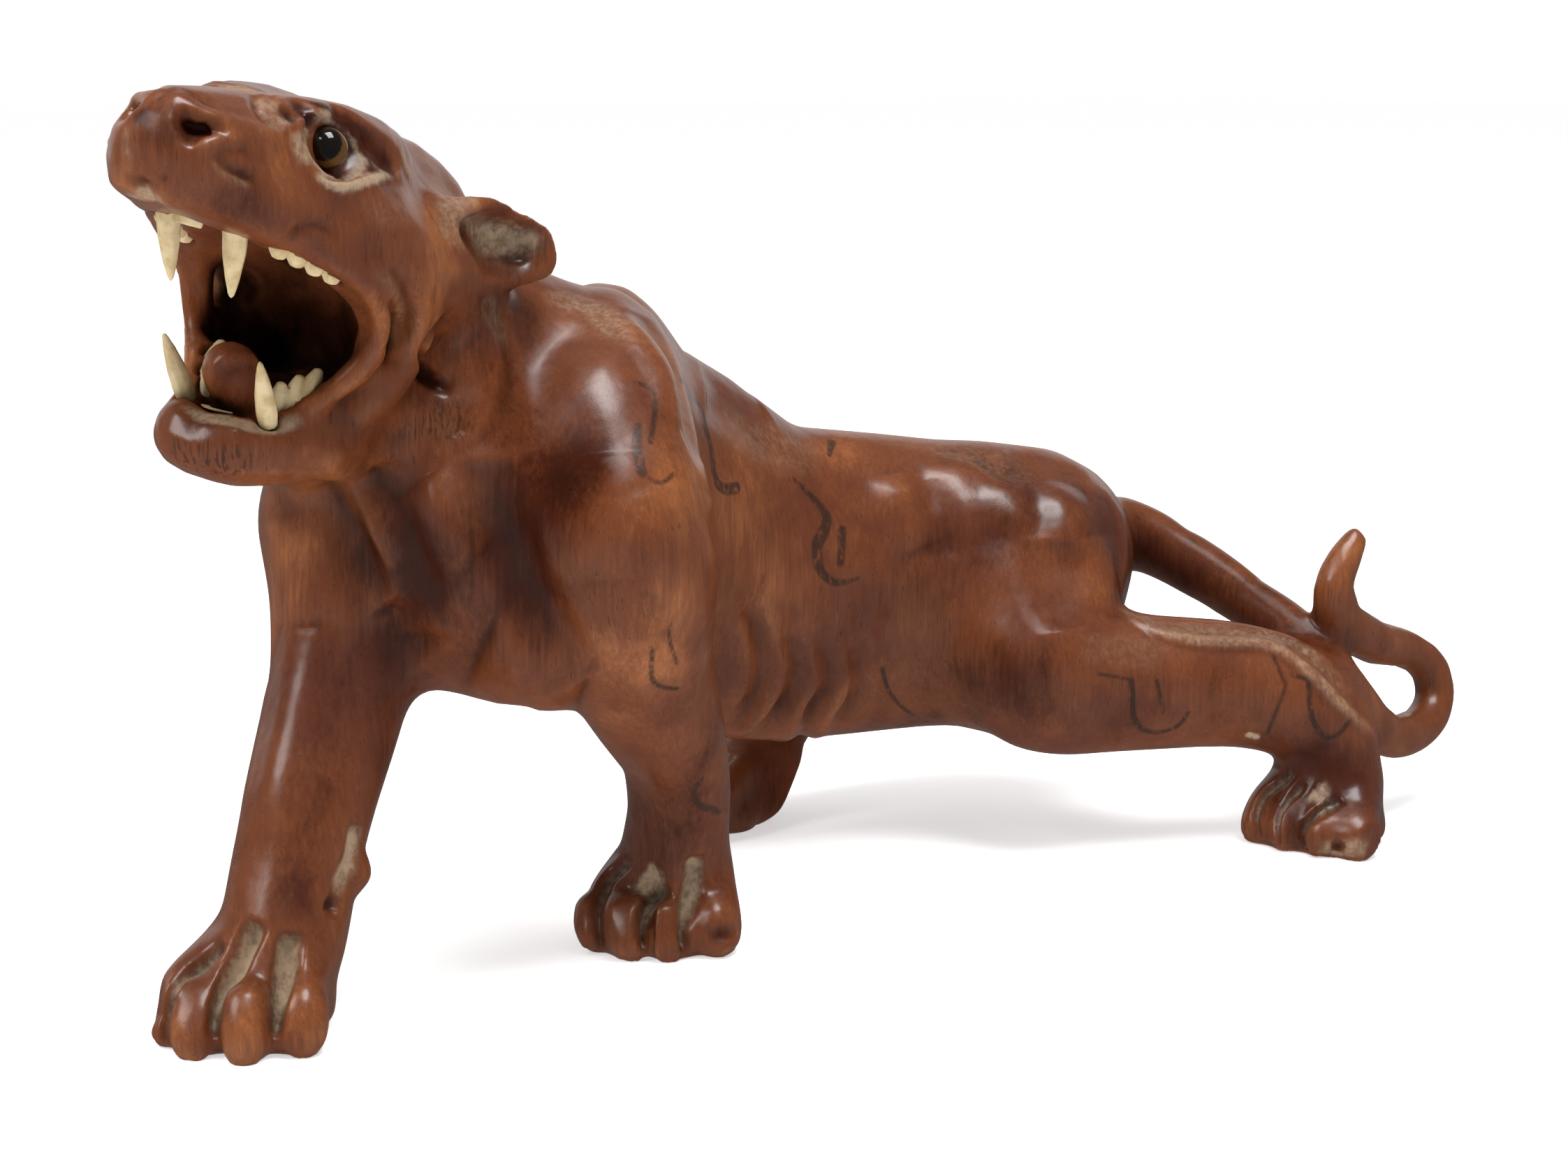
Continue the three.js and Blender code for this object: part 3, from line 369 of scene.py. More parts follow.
# Mouth corners: the rim of the lip, a fold behind it and a crease before the ruff.
mouth_cuts = (
    (((479, 374), (515, 401), (538, 435), (544, 472), (529, 506), (496, 536), (458, 565),
     (432, 586)), 5.0, -0.8, 0, 0.25, 1.5),
    (((524, 385), (552, 409), (566, 447), (562, 485), (540, 516)), 5.0, -1.1, 0.3),
    (((575, 385), (598, 425), (600, 465), (575, 515)), 6.0, -1.0, 0, 0.25, 1.5),
    (((566, 392), (584, 428), (582, 462), (562, 500)), 3.6, 0.6, 0, 0.25, 1.5),
    (((414, 342), (433, 326), (461, 322), (484, 342)), 2.8, 0.9),
    (((643, 454), (624, 473), (607, 501), (602, 529), (621, 546), (646, 557)), 3.6, 2.0))
for pixels, *sizes in mouth_cuts:
    both_sides(seen(*pixels), *sizes)

# Ruff, jaw and chin: fine cut hair, and the edge where the head leaves the neck.
ruff_forms = (
    (((668, 500), (685, 530), (680, 575), (655, 605)), 15, 1.0),
    (((450, 632), (500, 620), (560, 630), (620, 645)), 11, -0.8),
    (((735, 450), (755, 530), (740, 600)), 20, -0.7),
    (((322, 500), (328, 530)), 15, 2.2))
for pixels, *sizes in ruff_forms:
    form(pixels, *sizes)
ruff_cuts = (
    (((683, 442), (700, 470), (714, 507), (714, 541), (697, 597), (669, 628), (633, 644),
     (582, 636)), 3.0, -0.3, 0.12),
    (((696, 440), (716, 470), (730, 507), (730, 545), (712, 605), (680, 640),
     (633, 656)), 4.0, 0.4, 0, 0.25, 1.5),
    (((262, 577), (300, 596), (350, 606), (400, 608), (436, 598)), 4.2, 0.4, 1.0))
for pixels, *sizes in ruff_cuts:
    stroke(seen(*pixels), *sizes)

# Ears: dusty inside, with a few cuts that run in from the rim.
ear_cuts = (
    (((680, 324), (705, 338), (735, 344), (762, 349)), 9.5, 0.9, 0, 0.3),
    (((714, 366), (735, 371), (757, 366)), 2.4, 0.8, -1))
for pixels, *sizes in ear_cuts:
    both_sides(seen(*pixels), *sizes)
ear_hairs = [((676 + 14 * i, 316 + 6 * i), (692 + 12 * i, 344 + 3 * i)) for i in range(6)]
for pixels in ear_hairs:
    both_sides(seen(*pixels), 1.8, 0.3)

# Contours: the brow stands higher, the nape and the small of the back are cut lower, and the
# breastbone runs down to the left leg.
contours = (
    (((420, 130), (480, 142), (560, 188)), 22, 1.1),
    (((600, 228), (640, 255)), 20, -1.6),
    (((1010, 545), (1060, 585), (1110, 612)), 28, -2.2),
    (((405, 900), (445, 925), (500, 945)), 36, 1.4),
    (((1440, 655), (1500, 668), (1560, 696)), 26, -1.4),
    (((1600, 712), (1700, 775), (1790, 832)), 18, 1.5),
    (((200, 300), (232, 370), (256, 430)), 9, 1.2),
    (((690, 940), (760, 960), (830, 990)), 36, 5.0),
    (((350, 1000), (335, 1150), (320, 1280)), 16, 1.2),
    (((514, 1250), (510, 1300)), 11, 2.2),
    (((232, 1400), (222, 1450)), 18, -1.8),
    (((1125, 1090), (1105, 1150)), 18, 2.6))
for pixels, *sizes in contours:
    form(pixels, *sizes)

# Chest and shoulders.
chest_forms = (
    (((459, 648), (507, 690), (545, 751), (571, 807)), 10, 2.2),
    (((547, 663), (579, 759), (600, 830), (619, 900)), 14, -2.6),
    (((465, 690), (500, 760), (523, 823), (539, 890)), 13, -2.2),
    (((600, 690), (640, 750), (680, 800)), 20, 1.8),
    (((700, 660), (705, 730), (735, 800), (765, 870), (798, 925), (820, 965)), 17, -4.0),
    (((410, 740), (430, 820), (440, 890)), 22, 1.6),
    (((850, 650), (860, 740), (870, 830)), 30, 1.6),
    (((541, 870), (575, 910), (612, 940)), 18, -2.6),
    (((835, 540), (840, 560)), 26, 1.2),
    (((770, 470), (800, 640)), 22, -0.8),
    (((858, 412), (888, 453), (931, 506), (958, 564), (966, 606)), 13, 1.3),
    (((915, 453), (960, 506), (981, 552), (990, 610), (1006, 663)), 14, -2.0, 0.3),
    (((1010, 690), (1022, 760), (1030, 850)), 12, -1.2),
    (((930, 700), (960, 800), (950, 900)), 24, 0.8))
for pixels, *sizes in chest_forms:
    form(pixels, *sizes)

# Grey bloom on the upper sides: partly dust, which the hand seldom reaches, and partly a painted
# sheen of the light from above.
dust_and_sheen_drifts = (
    (((595, 190), (640, 245), (655, 300), (650, 360)), 12, 0.45),
    (((660, 300), (690, 288), (740, 300)), 4, 0.3),
    (((790, 385), (843, 434), (900, 498)), 10, 0.45),
    (((970, 490), (1030, 570), (1090, 632), (1180, 640)), 18, 0.3),
    (((1200, 618), (1300, 628), (1400, 655), (1500, 700)), 16, 0.25),
    (((1640, 735), (1720, 800), (1800, 855), (1880, 920)), 12, 0.14),
    (((1600, 860), (1640, 890), (1740, 905), (1830, 908), (1890, 950), (1950, 1015)), 9, 0.35),
    (((640, 690), (680, 720), (700, 770)), 12, 0.16),
    (((690, 425), (706, 450), (730, 500)), 7, 0.3),
    (((1540, 925), (1600, 930), (1680, 945)), 12, 0.25),
    (((520, 300), (560, 310), (600, 300)), 7, 0.25))
for pixels, width, dusty in dust_and_sheen_drifts:
    stroke(seen(*pixels), width, 0, dusty)

# Ribs and flank. The muscles of the upper flank stand out as a row of knobs.
rib_step = 25  # from a groove to the ridge before it, in pixels
ribs = (((1067, 868), (1087, 904), (1094, 948), (1080, 998), (1045, 1042)),
        ((1127, 908), (1145, 944), (1138, 989), (1112, 1024), (1076, 1056)),
        ((1172, 917), (1190, 953), (1188, 989), (1161, 1029), (1121, 1060)),
        ((1223, 922), (1234, 957), (1230, 998), (1201, 1033), (1156, 1062)))
for rib in ribs:
    form(rib, 8.5, -1.7)
    form([(u - rib_step, v) for u, v in rib], 8, 0.7)
flank_knobs = (
    (((1272, 680), (1294, 730), (1318, 785)), 18, 2.1),
    (((1368, 694), (1378, 720)), 23, 1.9),
    (((1442, 712), (1449, 732)), 15, 1.4),
    (((1528, 728), (1536, 752)), 20, 1.7),
    (((1328, 690), (1340, 740), (1352, 800)), 14, -0.7),
    (((1487, 715), (1484, 760)), 12, -0.5),
    (((1505, 775), (1512, 835), (1530, 900)), 22, -1.9, 0.12),
    (((1562, 770), (1580, 830), (1588, 880)), 18, 1.6),
    (((1582, 700), (1600, 740), (1607, 800), (1606, 855)), 9, 1.1))
for pixels, *sizes in flank_knobs:
    form(pixels, *sizes)

# Hind leg: the ridge below the tail, the flat above it that kept dust, and an old break in
# the shin that was glued, with a pale chip under it.
hind_leg_cuts = (
    (((1612, 880), (1667, 910), (1740, 920), (1820, 925), (1868, 958), (1920, 1010),
     (1970, 1062)), 4.0, -1.2, 0.5),
    (((1640, 886), (1740, 902), (1830, 908), (1885, 945), (1940, 1000)), 5.0, 0.9, 0.4),
    (((1823, 939), (1837, 971), (1841, 984), (1825, 1024), (1814, 1051)), 1.4, 0.35),
    (((1788, 1053), (1798, 1055)), 2.2, 0.4, 1.3, 0))
for pixels, *sizes in hind_leg_cuts:
    stroke(seen(*pixels), *sizes)

# Fore legs: the front sinew, the groove above the dew claw and its notch.
fore_leg_forms = (
    (((440, 900), (425, 1000), (402, 1100), (388, 1200)), 12, 1.2),
    (((490, 1000), (480, 1100), (470, 1180)), 12, -0.9),
    (((890, 1000), (900, 1090), (915, 1180)), 14, -0.9))
for pixels, *sizes in fore_leg_forms:
    form(pixels, *sizes)
fore_leg_cuts = (
    (((510, 1180), (508, 1205), (500, 1241), (478, 1278)), 6.0, 1.3, 0.9, 0.25, 1.5),
    (((468, 1288), (486, 1302), (504, 1312)), 4.4, 1.8))
for pixels, *sizes in fore_leg_cuts:
    stroke(seen(*pixels), *sizes)

# Paws: long clefts run down between the toes and keep pale dust. The toes swell below them
# and turn under at the ground. The far hind paw has plain cuts.
foot_reach, foot_tuck = 6, 1.6
down = np.clip(1 - points[:, 2] / (foot_reach * mm), 0, 1) ** 2
lift -= foot_tuck * mm * down * paw_near * np.sqrt(np.clip(1 - normals[:, 2] ** 2, 0, 1))
toes = (
    (((213, 1440), (218, 1480)), 9, 1.2),
    (((262, 1430), (267, 1495)), 13, 3.2),
    (((347, 1440), (350, 1500)), 13, 3.2),
    (((445, 1440), (450, 1485)), 16, 1.6),
    (((835, 1300), (840, 1340)), 9, 1.6),
    (((886, 1310), (892, 1350)), 13, 3.0),
    (((950, 1310), (950, 1360)), 9, 3.0),
    (((1022, 1310), (1025, 1350)), 11, 1.8),
    (((1915, 1192), (1950, 1200)), 18, 2.4))
for pixels, width, height in toes:
    form(pixels, width, height)
clefts = (
    (((318, 1348), (285, 1385), (262, 1408), (246, 1434), (236, 1462), (236, 1496)), 4.4, 2.4, 0.6),
    (((368, 1320), (351, 1351), (333, 1391), (319, 1425), (309, 1455), (306, 1486),
     (307, 1515)), 5.6, 3.4, 1.05),
    (((416, 1335), (413, 1364), (408, 1394), (401, 1425), (396, 1455), (393, 1486),
     (391, 1515)), 5.6, 3.2, 1.05),
    (((901, 1227), (874, 1252), (860, 1285), (857, 1325), (862, 1358)), 4.0, 2.2, 0.5),
    (((915, 1252), (932, 1272), (930, 1292)), 10.0, 1.6, 0.9),
    (((954, 1268), (928, 1302), (919, 1332), (922, 1360)), 4.0, 2.4, 0.5),
    (((996, 1226), (994, 1262), (984, 1300), (978, 1330), (982, 1362)), 5.4, 2.4, 0.9),
    (((1921, 1146), (1885, 1166), (1864, 1190), (1866, 1220)), 3.8, 2.0, 0.4),
    (((1850, 1104), (1815, 1132), (1799, 1165), (1802, 1198)), 3.0, 1.4, 0.5),
    (((1866, 1122), (1838, 1150), (1827, 1180), (1832, 1212)), 3.0, 1.4, 0.4),
    (((1880, 1128), (1905, 1150)), 8.0, 0.6, 0.75))
for pixels, width, depth, dusty in clefts:
    stroke(seen(*pixels), width, depth, dusty, ends=0.12, soft=1.3, tip=0.45)
paw_cuts = (
    (((1026, 1338), (1040, 1336)), 4.0, 1.1, 0, 0),
    (((1885, 1216), (1925, 1216), (1965, 1206)), 5.0, 0.2, 0.6),
    (((1913, 1210), (1921, 1210)), 2.8, 1.4, -1, 0))
for pixels, *sizes in paw_cuts:
    stroke(seen(*pixels), *sizes)
far_paw, far_size = np.array((7.3, 49.7, 0)), 0.95
far_heading, far_spread = math.radians(180), 7.8
for i in (-1, 0, 1):
    route = []
    for ahead, aside, up in ((-4, 0.6, 19), (4, 0.8, 15), (11, 1, 10), (15, 1, 5), (15, 1, 1)):
        ahead, aside = ahead - 1.6 * i * i, aside * far_spread * i
        route.append(far_paw + far_size * np.array((
            math.cos(far_heading) * ahead - math.sin(far_heading) * aside,
            math.sin(far_heading) * ahead + math.cos(far_heading) * aside, up)))
    stroke([np.array(skin.find_nearest(Vector(p * mm))[0]) for p in route], 4.6, 2.6, 0.7,
           ends=0.12, soft=1.3, tip=0.6)

# The nostrils and the eyes' sockets are closed in, the strokes are raised or sunk, and the
# whole is rubbed lightly and kept inside the solid's box.
nostril = (283, 182)
box_margin = 0.01 * mm
pinch(seen(nostril) + mirrored(seen(nostril)), 5.5, 0.5)
for side in (1, -1):
    pinch(on_head(np.array(eye_place) * (1, side, 1)), 9.0, 0.5)
points += normals * lift[:, None]
points = rub(points, edges, np.ones(len(points)), 2)
lowest, highest = (np.array(corner) for corner in cad_box)
points = np.clip(points, lowest + box_margin, highest - box_margin)
wood.data.vertices.foreach_set("co", points.ravel())
wood.data.update()
normals = read_normals(wood)

# Wood: stripes
# A few thin, broken stripes were drawn on the sides and the legs with a hot point. Each is
# kept on the skin as the distance to its edge, which the finish turns into a crisp line.
burn_reach = 5 * mm
burn_breadth = 1.25  # of the half widths below
burn = np.full(len(points), burn_reach)


def scorch(pixels, thick, thicker=None):
    """A burnt line through points of the photograph, with its half width at both ends."""
    stops = seen(*pixels)
    if not stops:
        return
    line = line_through(stops)
    index, away, along = near_line(line, burn_reach)
    half = (thick + ((thicker or thick) - thick) * along) * burn_breadth * mm
    burn[index] = np.minimum(burn[index], away - half)


burnt_stripes = (
    (((908, 548), (935, 560), (937, 594), (931, 633)), 0.45),
    (((914, 610), (911, 640), (917, 678)), 0.6, 1.0),
    (((917, 678), (942, 694), (965, 678)), 0.5, 0.3),
    (((975, 540), (994, 571), (1010, 610), (1019, 648), (1022, 678), (1034, 700),
     (1055, 698)), 0.45, 1.0),
    (((1007, 610), (1023, 663)), 0.35),
    (((1137, 686), (1172, 721), (1185, 747), (1170, 778)), 0.4, 1.3),
    (((1170, 778), (1172, 812), (1195, 835), (1229, 828)), 1.3, 0.3),
    (((1206, 759), (1203, 805)), 0.9, 0.8),
    (((1191, 633), (1187, 652)), 0.8, 0.4),
    (((1495, 810), (1504, 803), (1522, 805)), 0.6, 0.3),
    (((1571, 964), (1620, 973)), 0.3),
    (((1620, 975), (1623, 1029), (1647, 1049), (1683, 1042), (1701, 1020)), 0.6, 0.4),
    (((1656, 975), (1665, 1020)), 0.4, 0.3),
    (((1397, 663), (1429, 685), (1455, 703)), 0.7, 0.4),
    (((1263, 957), (1272, 989), (1290, 1011), (1308, 1024)), 0.4),
    (((1872, 971), (1877, 1024), (1895, 1055), (1917, 1051), (1933, 1029)), 0.55, 0.4),
    (((1850, 966), (1877, 975)), 0.4),
    (((934, 932), (934, 977), (969, 986)), 0.4),
    (((969, 863), (956, 905), (969, 950)), 0.3),
    (((916, 848), (956, 863)), 0.35),
    (((1005, 1115), (992, 1142), (1027, 1158)), 0.45, 0.3),
    (((997, 1122), (997, 1152), (1030, 1163)), 0.4),
    (((1823, 939), (1837, 971), (1841, 984), (1825, 1024), (1814, 1051)), 0.35),
    (((1703, 779), (1706, 781)), 1.3))
for pixels, *thickness in burnt_stripes:
    scorch(pixels, *thickness)

# Wood: stain and painted shade
# The wood is unevenly stained. It is darkest on the shoulder, the chest and the rump, partly stain
# and partly painted shade, and worn to orange on the cheek, the flank, the hind leg and the toes.
stain_and_shade = np.zeros(len(points))


def tint(u, v, radius, amount, layer=stain_and_shade):
    """A soft patch round a point of the photograph, darker where the amount is below 0."""
    for spot in seen((u, v)):
        away = np.linalg.norm(points - spot, axis=1) / (radius * mm)
        layer += amount * np.exp(-away * away)


# Stain, and painted shade where the wood lies in shadow: the nostrils, the brow's scoops round the
# eyes, the far hind leg under the body and the hollow above the hind paw.
stain_and_shade_patches = (
    (850, 630, 14, -1.6), (740, 500, 10, -0.9), (690, 740, 12, -1.2), (640, 850, 13, -0.9),
    (640, 690, 7, 0.8), (960, 440, 9, -0.6), (500, 700, 8, -0.6), (560, 790, 8, -0.9),
    (540, 960, 9, -1.4), (560, 1080, 8, -1.2), (880, 1120, 8, -1.5), (960, 1170, 8, -0.5),
    (1020, 1050, 8, -0.6), (760, 850, 8, -0.9), (1000, 760, 14, 1.0), (950, 930, 12, 1.1),
    (1110, 860, 18, 0.9), (1080, 700, 12, 0.7), (1340, 760, 13, -0.6), (1420, 650, 12, -0.9),
    (1560, 740, 12, -1.2), (1200, 700, 10, 0.3), (1480, 860, 12, 0.4), (1700, 960, 13, 0.3),
    (1830, 980, 9, 0.1), (1560, 1050, 12, -0.9), (1300, 1040, 12, -0.5), (1330, 930, 12, 0.2),
    (430, 760, 10, 0.8), (390, 880, 9, 0.9), (450, 1060, 9, -0.5), (350, 1290, 8, 0.2),
    (420, 1260, 8, -0.3), (265, 1460, 5, 0.9), (350, 1470, 5, 0.8), (450, 1440, 7, 0.3),
    (630, 330, 10, 0.9), (600, 430, 8, 0.8), (400, 250, 6, 1.2), (330, 270, 6, 0.7),
    (300, 225, 6, -0.4), (220, 190, 8, -0.5), (280, 130, 8, -0.3), (320, 640, 9, -0.7),
    (480, 590, 8, 0.2), (550, 600, 7, -0.3), (760, 360, 8, -0.6), (1000, 1320, 7, 0.5),
    (1940, 1100, 9, -0.8), (1850, 1180, 7, -1.2), (1930, 1195, 5, -0.4), (1100, 1150, 16, -1.6),
    (1750, 800, 10, -0.4), (1900, 780, 6, -0.5), (416, 164, 2.0, -3.2), (432, 148, 1.9, -3.2),
    (455, 148, 1.6, -3.0), (446, 170, 1.8, -3.4), (478, 166, 2.2, -3.4), (497, 181, 2.3, -3.4),
    (517, 203, 2.8, -3.4), (538, 222, 3.2, -3.4), (558, 238, 1.8, -2.6), (235, 185, 4.5, -1.3),
    (282, 182, 2.0, -2.5), (201, 166, 1.4, -2.5), (350, 290, 6, -1.2), (410, 300, 5, -0.6),
    (560, 340, 7, -0.6), (700, 440, 5, -1.5), (720, 296, 3, -1.0), (765, 322, 3, -1.0),
    (735, 400, 4, -0.8), (610, 545, 4, -1.4), (418, 1275, 5, -1.2), (1890, 1092, 6, -2.2),
    (1820, 1060, 4, -1.2), (1034, 1340, 2.5, -1.6), (1130, 1120, 18, -1.4), (1700, 1000, 8, -0.3),
    (1300, 850, 10, -0.5), (1390, 980, 12, -0.8), (1250, 790, 10, 0.6), (1640, 770, 9, -1.2),
    (1720, 815, 9, -1.3), (1800, 865, 9, -1.3), (1870, 915, 8, -1.2), (2040, 970, 14, -0.6),
    (1480, 720, 8, -0.8), (1600, 800, 8, -0.9), (1850, 1120, 9, -0.9), (1960, 1150, 9, -1.0),
    (940, 1020, 12, 0.5), (620, 350, 9, 0.5), (350, 1420, 14, -0.6), (1640, 960, 10, -0.6),
    (1450, 1000, 10, -0.6), (440, 960, 8, -0.8), (450, 900, 8, 0.4), (480, 620, 7, -0.5),
    (820, 700, 9, -1.2), (770, 780, 9, -0.8), (350, 250, 5, -0.6), (300, 300, 5, -0.8),
    (590, 760, 6, -1.2), (600, 850, 7, -1.2), (510, 800, 4, -1.0), (1420, 770, 9, -0.8),
    (1580, 720, 8, -0.8), (1120, 960, 6, -0.6), (1470, 930, 9, -0.6), (930, 1150, 14, -0.9),
    (930, 1300, 14, -0.8), (1900, 1150, 16, -0.6), (900, 720, 8, 0.5), (960, 660, 8, 0.6),
    (1180, 640, 9, 0.4))
for patch in stain_and_shade_patches:
    tint(*patch)

ear_dust = (
    (678, 322, 2.4, 0.5), (692, 338, 3.0, 0.5), (708, 330, 2.8, 0.4), (714, 352, 3.0, 0.5),
    (732, 340, 3.2, 0.5), (752, 348, 2.8, 0.5), (690, 356, 2.2, 0.3), (765, 346, 2.0, 0.3))
for patch in ear_dust:
    tint(*patch, dust)

# Fine hair is cut under the chin and on the ruff.
fur = np.zeros(len(points))
haired_patches = (
    (262, 650, 3.5, 0.8), (300, 655, 3.5, 0.8), (340, 665, 3.5, 0.8), (590, 612, 4, 0.5),
    (625, 600, 4, 0.6), (655, 610, 4, 0.6), (680, 580, 4, 0.3))
for patch in haired_patches:
    tint(*patch, fur)

# Wood: what the finish reads
# Ridges are rubbed lighter and fine hollows are darker; broad hollows are darkened as painted
# shade.
# The inside of the mouth is painted nearly black, shade over its darker finish, and a few patches
# outside it are dulled, and darkened as painted shade where they add up.
fine_rounds, broad_rounds = 5, 70
mouth_low, mouth_high = (-26, -22, -42), (50, 22, 4)  # in the head's axes
mouth_reach, ray_start = 45 * mm, 0.3 * mm
stripe_reach = 1.6 * mm
wood_triangles = 192000


def standing(rounds, height):
    """How far each point stands out of its surroundings, about -1 to 1."""
    mean = spread(points, edges, np.ones(len(points)), rounds)
    out = np.sum((points - mean) * normals, axis=1) / (height * mm)
    return spread(np.clip(out, -1.5, 1.5)[:, None], edges, np.ones(len(points)), 4)[:, 0]


in_head = (points - head_place) @ head_axes.T / mm
# This layer dulls the gloss and, where it is high, paints shade. Inside the mouth it is the share
# of short rays from the skin that the skin blocks: painted shade.
shade_and_dull = np.zeros(len(points))
skin = BVHTree.FromPolygons([Vector(p) for p in points], faces)
inner = np.nonzero(np.all((in_head > mouth_low) & (in_head < mouth_high), axis=1))[0]
rays = [Vector((math.sin(a) * math.sqrt(1 - h * h), math.cos(a) * math.sqrt(1 - h * h), h))
        for h, a in ((0.92, 0.3), (0.75, 2.0), (0.7, 4.1), (0.62, 5.6), (0.45, 0.9), (0.4, 2.9),
                     (0.35, 4.9), (0.3, 3.7))]
for i in inner:
    normal = Vector(normals[i])
    turn = normal.to_track_quat("Z", "Y")
    start = Vector(points[i]) + normal * ray_start
    blocked = sum(skin.ray_cast(start, turn @ ray, mouth_reach)[0] is not None for ray in rays)
    shade_and_dull[i] = blocked / len(rays)
shade_and_dull = spread(shade_and_dull[:, None], edges, np.ones(len(points)), 4)[:, 0]
# Listed patches dull the gloss and, where they add up, paint shade: on the tail, the far hind leg
# under the body, behind the shoulder, on the neck, at the nose and round the eyes.
dull_and_shade_patches = (
    (1640, 770, 8, 0.28), (1690, 800, 8, 0.28), (1740, 832, 8, 0.28), (1790, 862, 8, 0.28),
    (1840, 895, 8, 0.28), (1885, 925, 7, 0.28), (1130, 1120, 18, 0.4), (1180, 1060, 14, 0.3),
    (1890, 1085, 5, 0.3), (1925, 1120, 4, 0.2), (560, 900, 6, 0.2), (690, 440, 3, 0.3),
    (715, 570, 7, 0.35), (735, 610, 7, 0.35), (735, 530, 6, 0.3), (780, 690, 8, 0.35),
    (850, 675, 8, 0.35), (820, 740, 9, 0.2), (205, 168, 4, 0.3), (285, 178, 2, 0.3),
    (1494, 892, 6, 0.3), (416, 164, 1.8, 0.3), (432, 150, 2.0, 0.3), (455, 150, 1.6, 0.3),
    (478, 166, 2.0, 0.3), (497, 181, 2.0, 0.3), (520, 204, 2.6, 0.35), (541, 224, 3.0, 0.35),
    (436, 905, 3, 0.3))
for patch in dull_and_shade_patches:
    tint(*patch, shade_and_dull)

for name, values in (("ridge", standing(fine_rounds, 0.15)), ("swell_shade", standing(broad_rounds, 1.2)),
                     ("dust", dust), ("burn", burn / mm), ("shade_and_dull", shade_and_dull), ("stain_and_shade", stain_and_shade),
                     ("fur", fur)):
    layer = wood.data.attributes.new(name, "FLOAT", "POINT")
    layer.data.foreach_set("value", np.ascontiguousarray(values, np.float32))

stripes = wood.vertex_groups.new(name="stripes")
stripes.add(np.nonzero(burn < stripe_reach)[0].tolist(), 1.0, "REPLACE")
bpy.context.view_layer.objects.active = wood
thin = wood.modifiers.new("thin", "DECIMATE")
thin.ratio = min(1.0, wood_triangles / sum(len(f) - 2 for f in faces))
thin.vertex_group = stripes.name
thin.invert_vertex_group = True
thin.vertex_group_factor = 1.0
bpy.ops.object.modifier_apply(modifier=thin.name)
wood.data.shade_smooth()
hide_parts("tiger")
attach(wood, "root")

# Wood: finish
# Reddish brown hardwood with upright fibres and short pores, stained unevenly, rubbed to a
# satin gloss by long handling. Deep cuts keep grey beige dust, and the same grey on the upper sides
# is painted sheen. Dulled patches are bare, and painted dark as shade where they add up.


class Finish:
    """A socket of a material's nodes. A sum written with it adds Math nodes."""

    def __init__(self, tree, socket=None):
        self.tree = tree
        self.socket = socket

    def node(self, kind, settings=None, inputs=None, output=0):
        """Adds a node with its settings, then the values or links of its sockets."""
        made = self.tree.nodes.new(kind)
        for name, value in (settings or {}).items():
            setattr(made, name, value)
        for name, value in (inputs or {}).items():
            if isinstance(value, Finish):
                self.tree.links.new(value.socket, made.inputs[name])
            else:
                made.inputs[name].default_value = value
        return Finish(self.tree, made.outputs[output])

    def math(self, operation, *values):
        return self.node("ShaderNodeMath", {"operation": operation}, dict(enumerate(values)))

    def __add__(self, other):
        return self.math("ADD", self, other)

    def __sub__(self, other):
        return self.math("SUBTRACT", self, other)

    def __rsub__(self, other):
        return self.math("SUBTRACT", other, self)

    def __mul__(self, other):
        return self.math("MULTIPLY", self, other)

    __radd__ = __add__
    __rmul__ = __mul__

    def step(self, low, high):
        """0 at low, 1 at high, smooth between."""
        return self.node("ShaderNodeMapRange", {"interpolation_type": "SMOOTHSTEP"},
                         {"Value": self, "From Min": low, "From Max": high})

    def over(self, below, above):
        """One colour laid over another where this mask is 1."""
        return self.node("ShaderNodeMix", {"data_type": "RGBA"}, {0: self, 6: below, 7: above}, 2)

    def times(self, colour):
        """A colour made lighter or darker by this number."""
        return self.node("ShaderNodeVectorMath", {"operation": "SCALE"}, {0: colour, "Scale": self})

    def noise(self, size, stretch=(1, 1, 1), detail=3, roughness=0.55, shift=(0, 0, 0)):
        """Cloudy noise about 0.5, its patches the given size in metres, drawn out by stretch."""
        place = self.node("ShaderNodeMapping", None,
                          {"Vector": self, "Location": shift,
                           "Scale": tuple(1 / (size * s) for s in stretch)})
        return self.node("ShaderNodeTexNoise", None,
                         {"Vector": place, "Scale": 1.0, "Detail": detail, "Roughness": roughness})

    def attribute(self, name):
        """A value that the piece keeps at its points."""
        return self.node("ShaderNodeAttribute", {"attribute_name": name}, None, "Fac")


def new_finish(name):
    """A fresh material: itself, its shader's node, and its Object coordinates."""
    material = bpy.data.materials.new(name)
    material.use_nodes = True
    tree = material.node_tree
    shader = tree.nodes["Principled BSDF"]
    return material, shader, Finish(tree).node("ShaderNodeTexCoord", None, None, "Object")


def wear(shader, **sockets):
    """Sets or links the sockets of a shader, named with _ for their spaces."""
    for name, value in sockets.items():
        socket = shader.inputs[name.replace("_", " ")]
        if isinstance(value, Finish):
            value.tree.links.new(value.socket, socket)
        else:
            socket.default_value = value


wood_dark = (0.042, 0.0085, 0.0030, 1)
wood_middle = (0.136, 0.038, 0.0125, 1)
wood_orange = (0.295, 0.099, 0.030, 1)
wood_plum = (0.085, 0.022, 0.011, 1)
dust_and_sheen_grey = (0.36, 0.26, 0.165, 1)
dust_and_sheen_brown = (0.25, 0.175, 0.11, 1)
burnt = (0.022, 0.012, 0.008, 1)

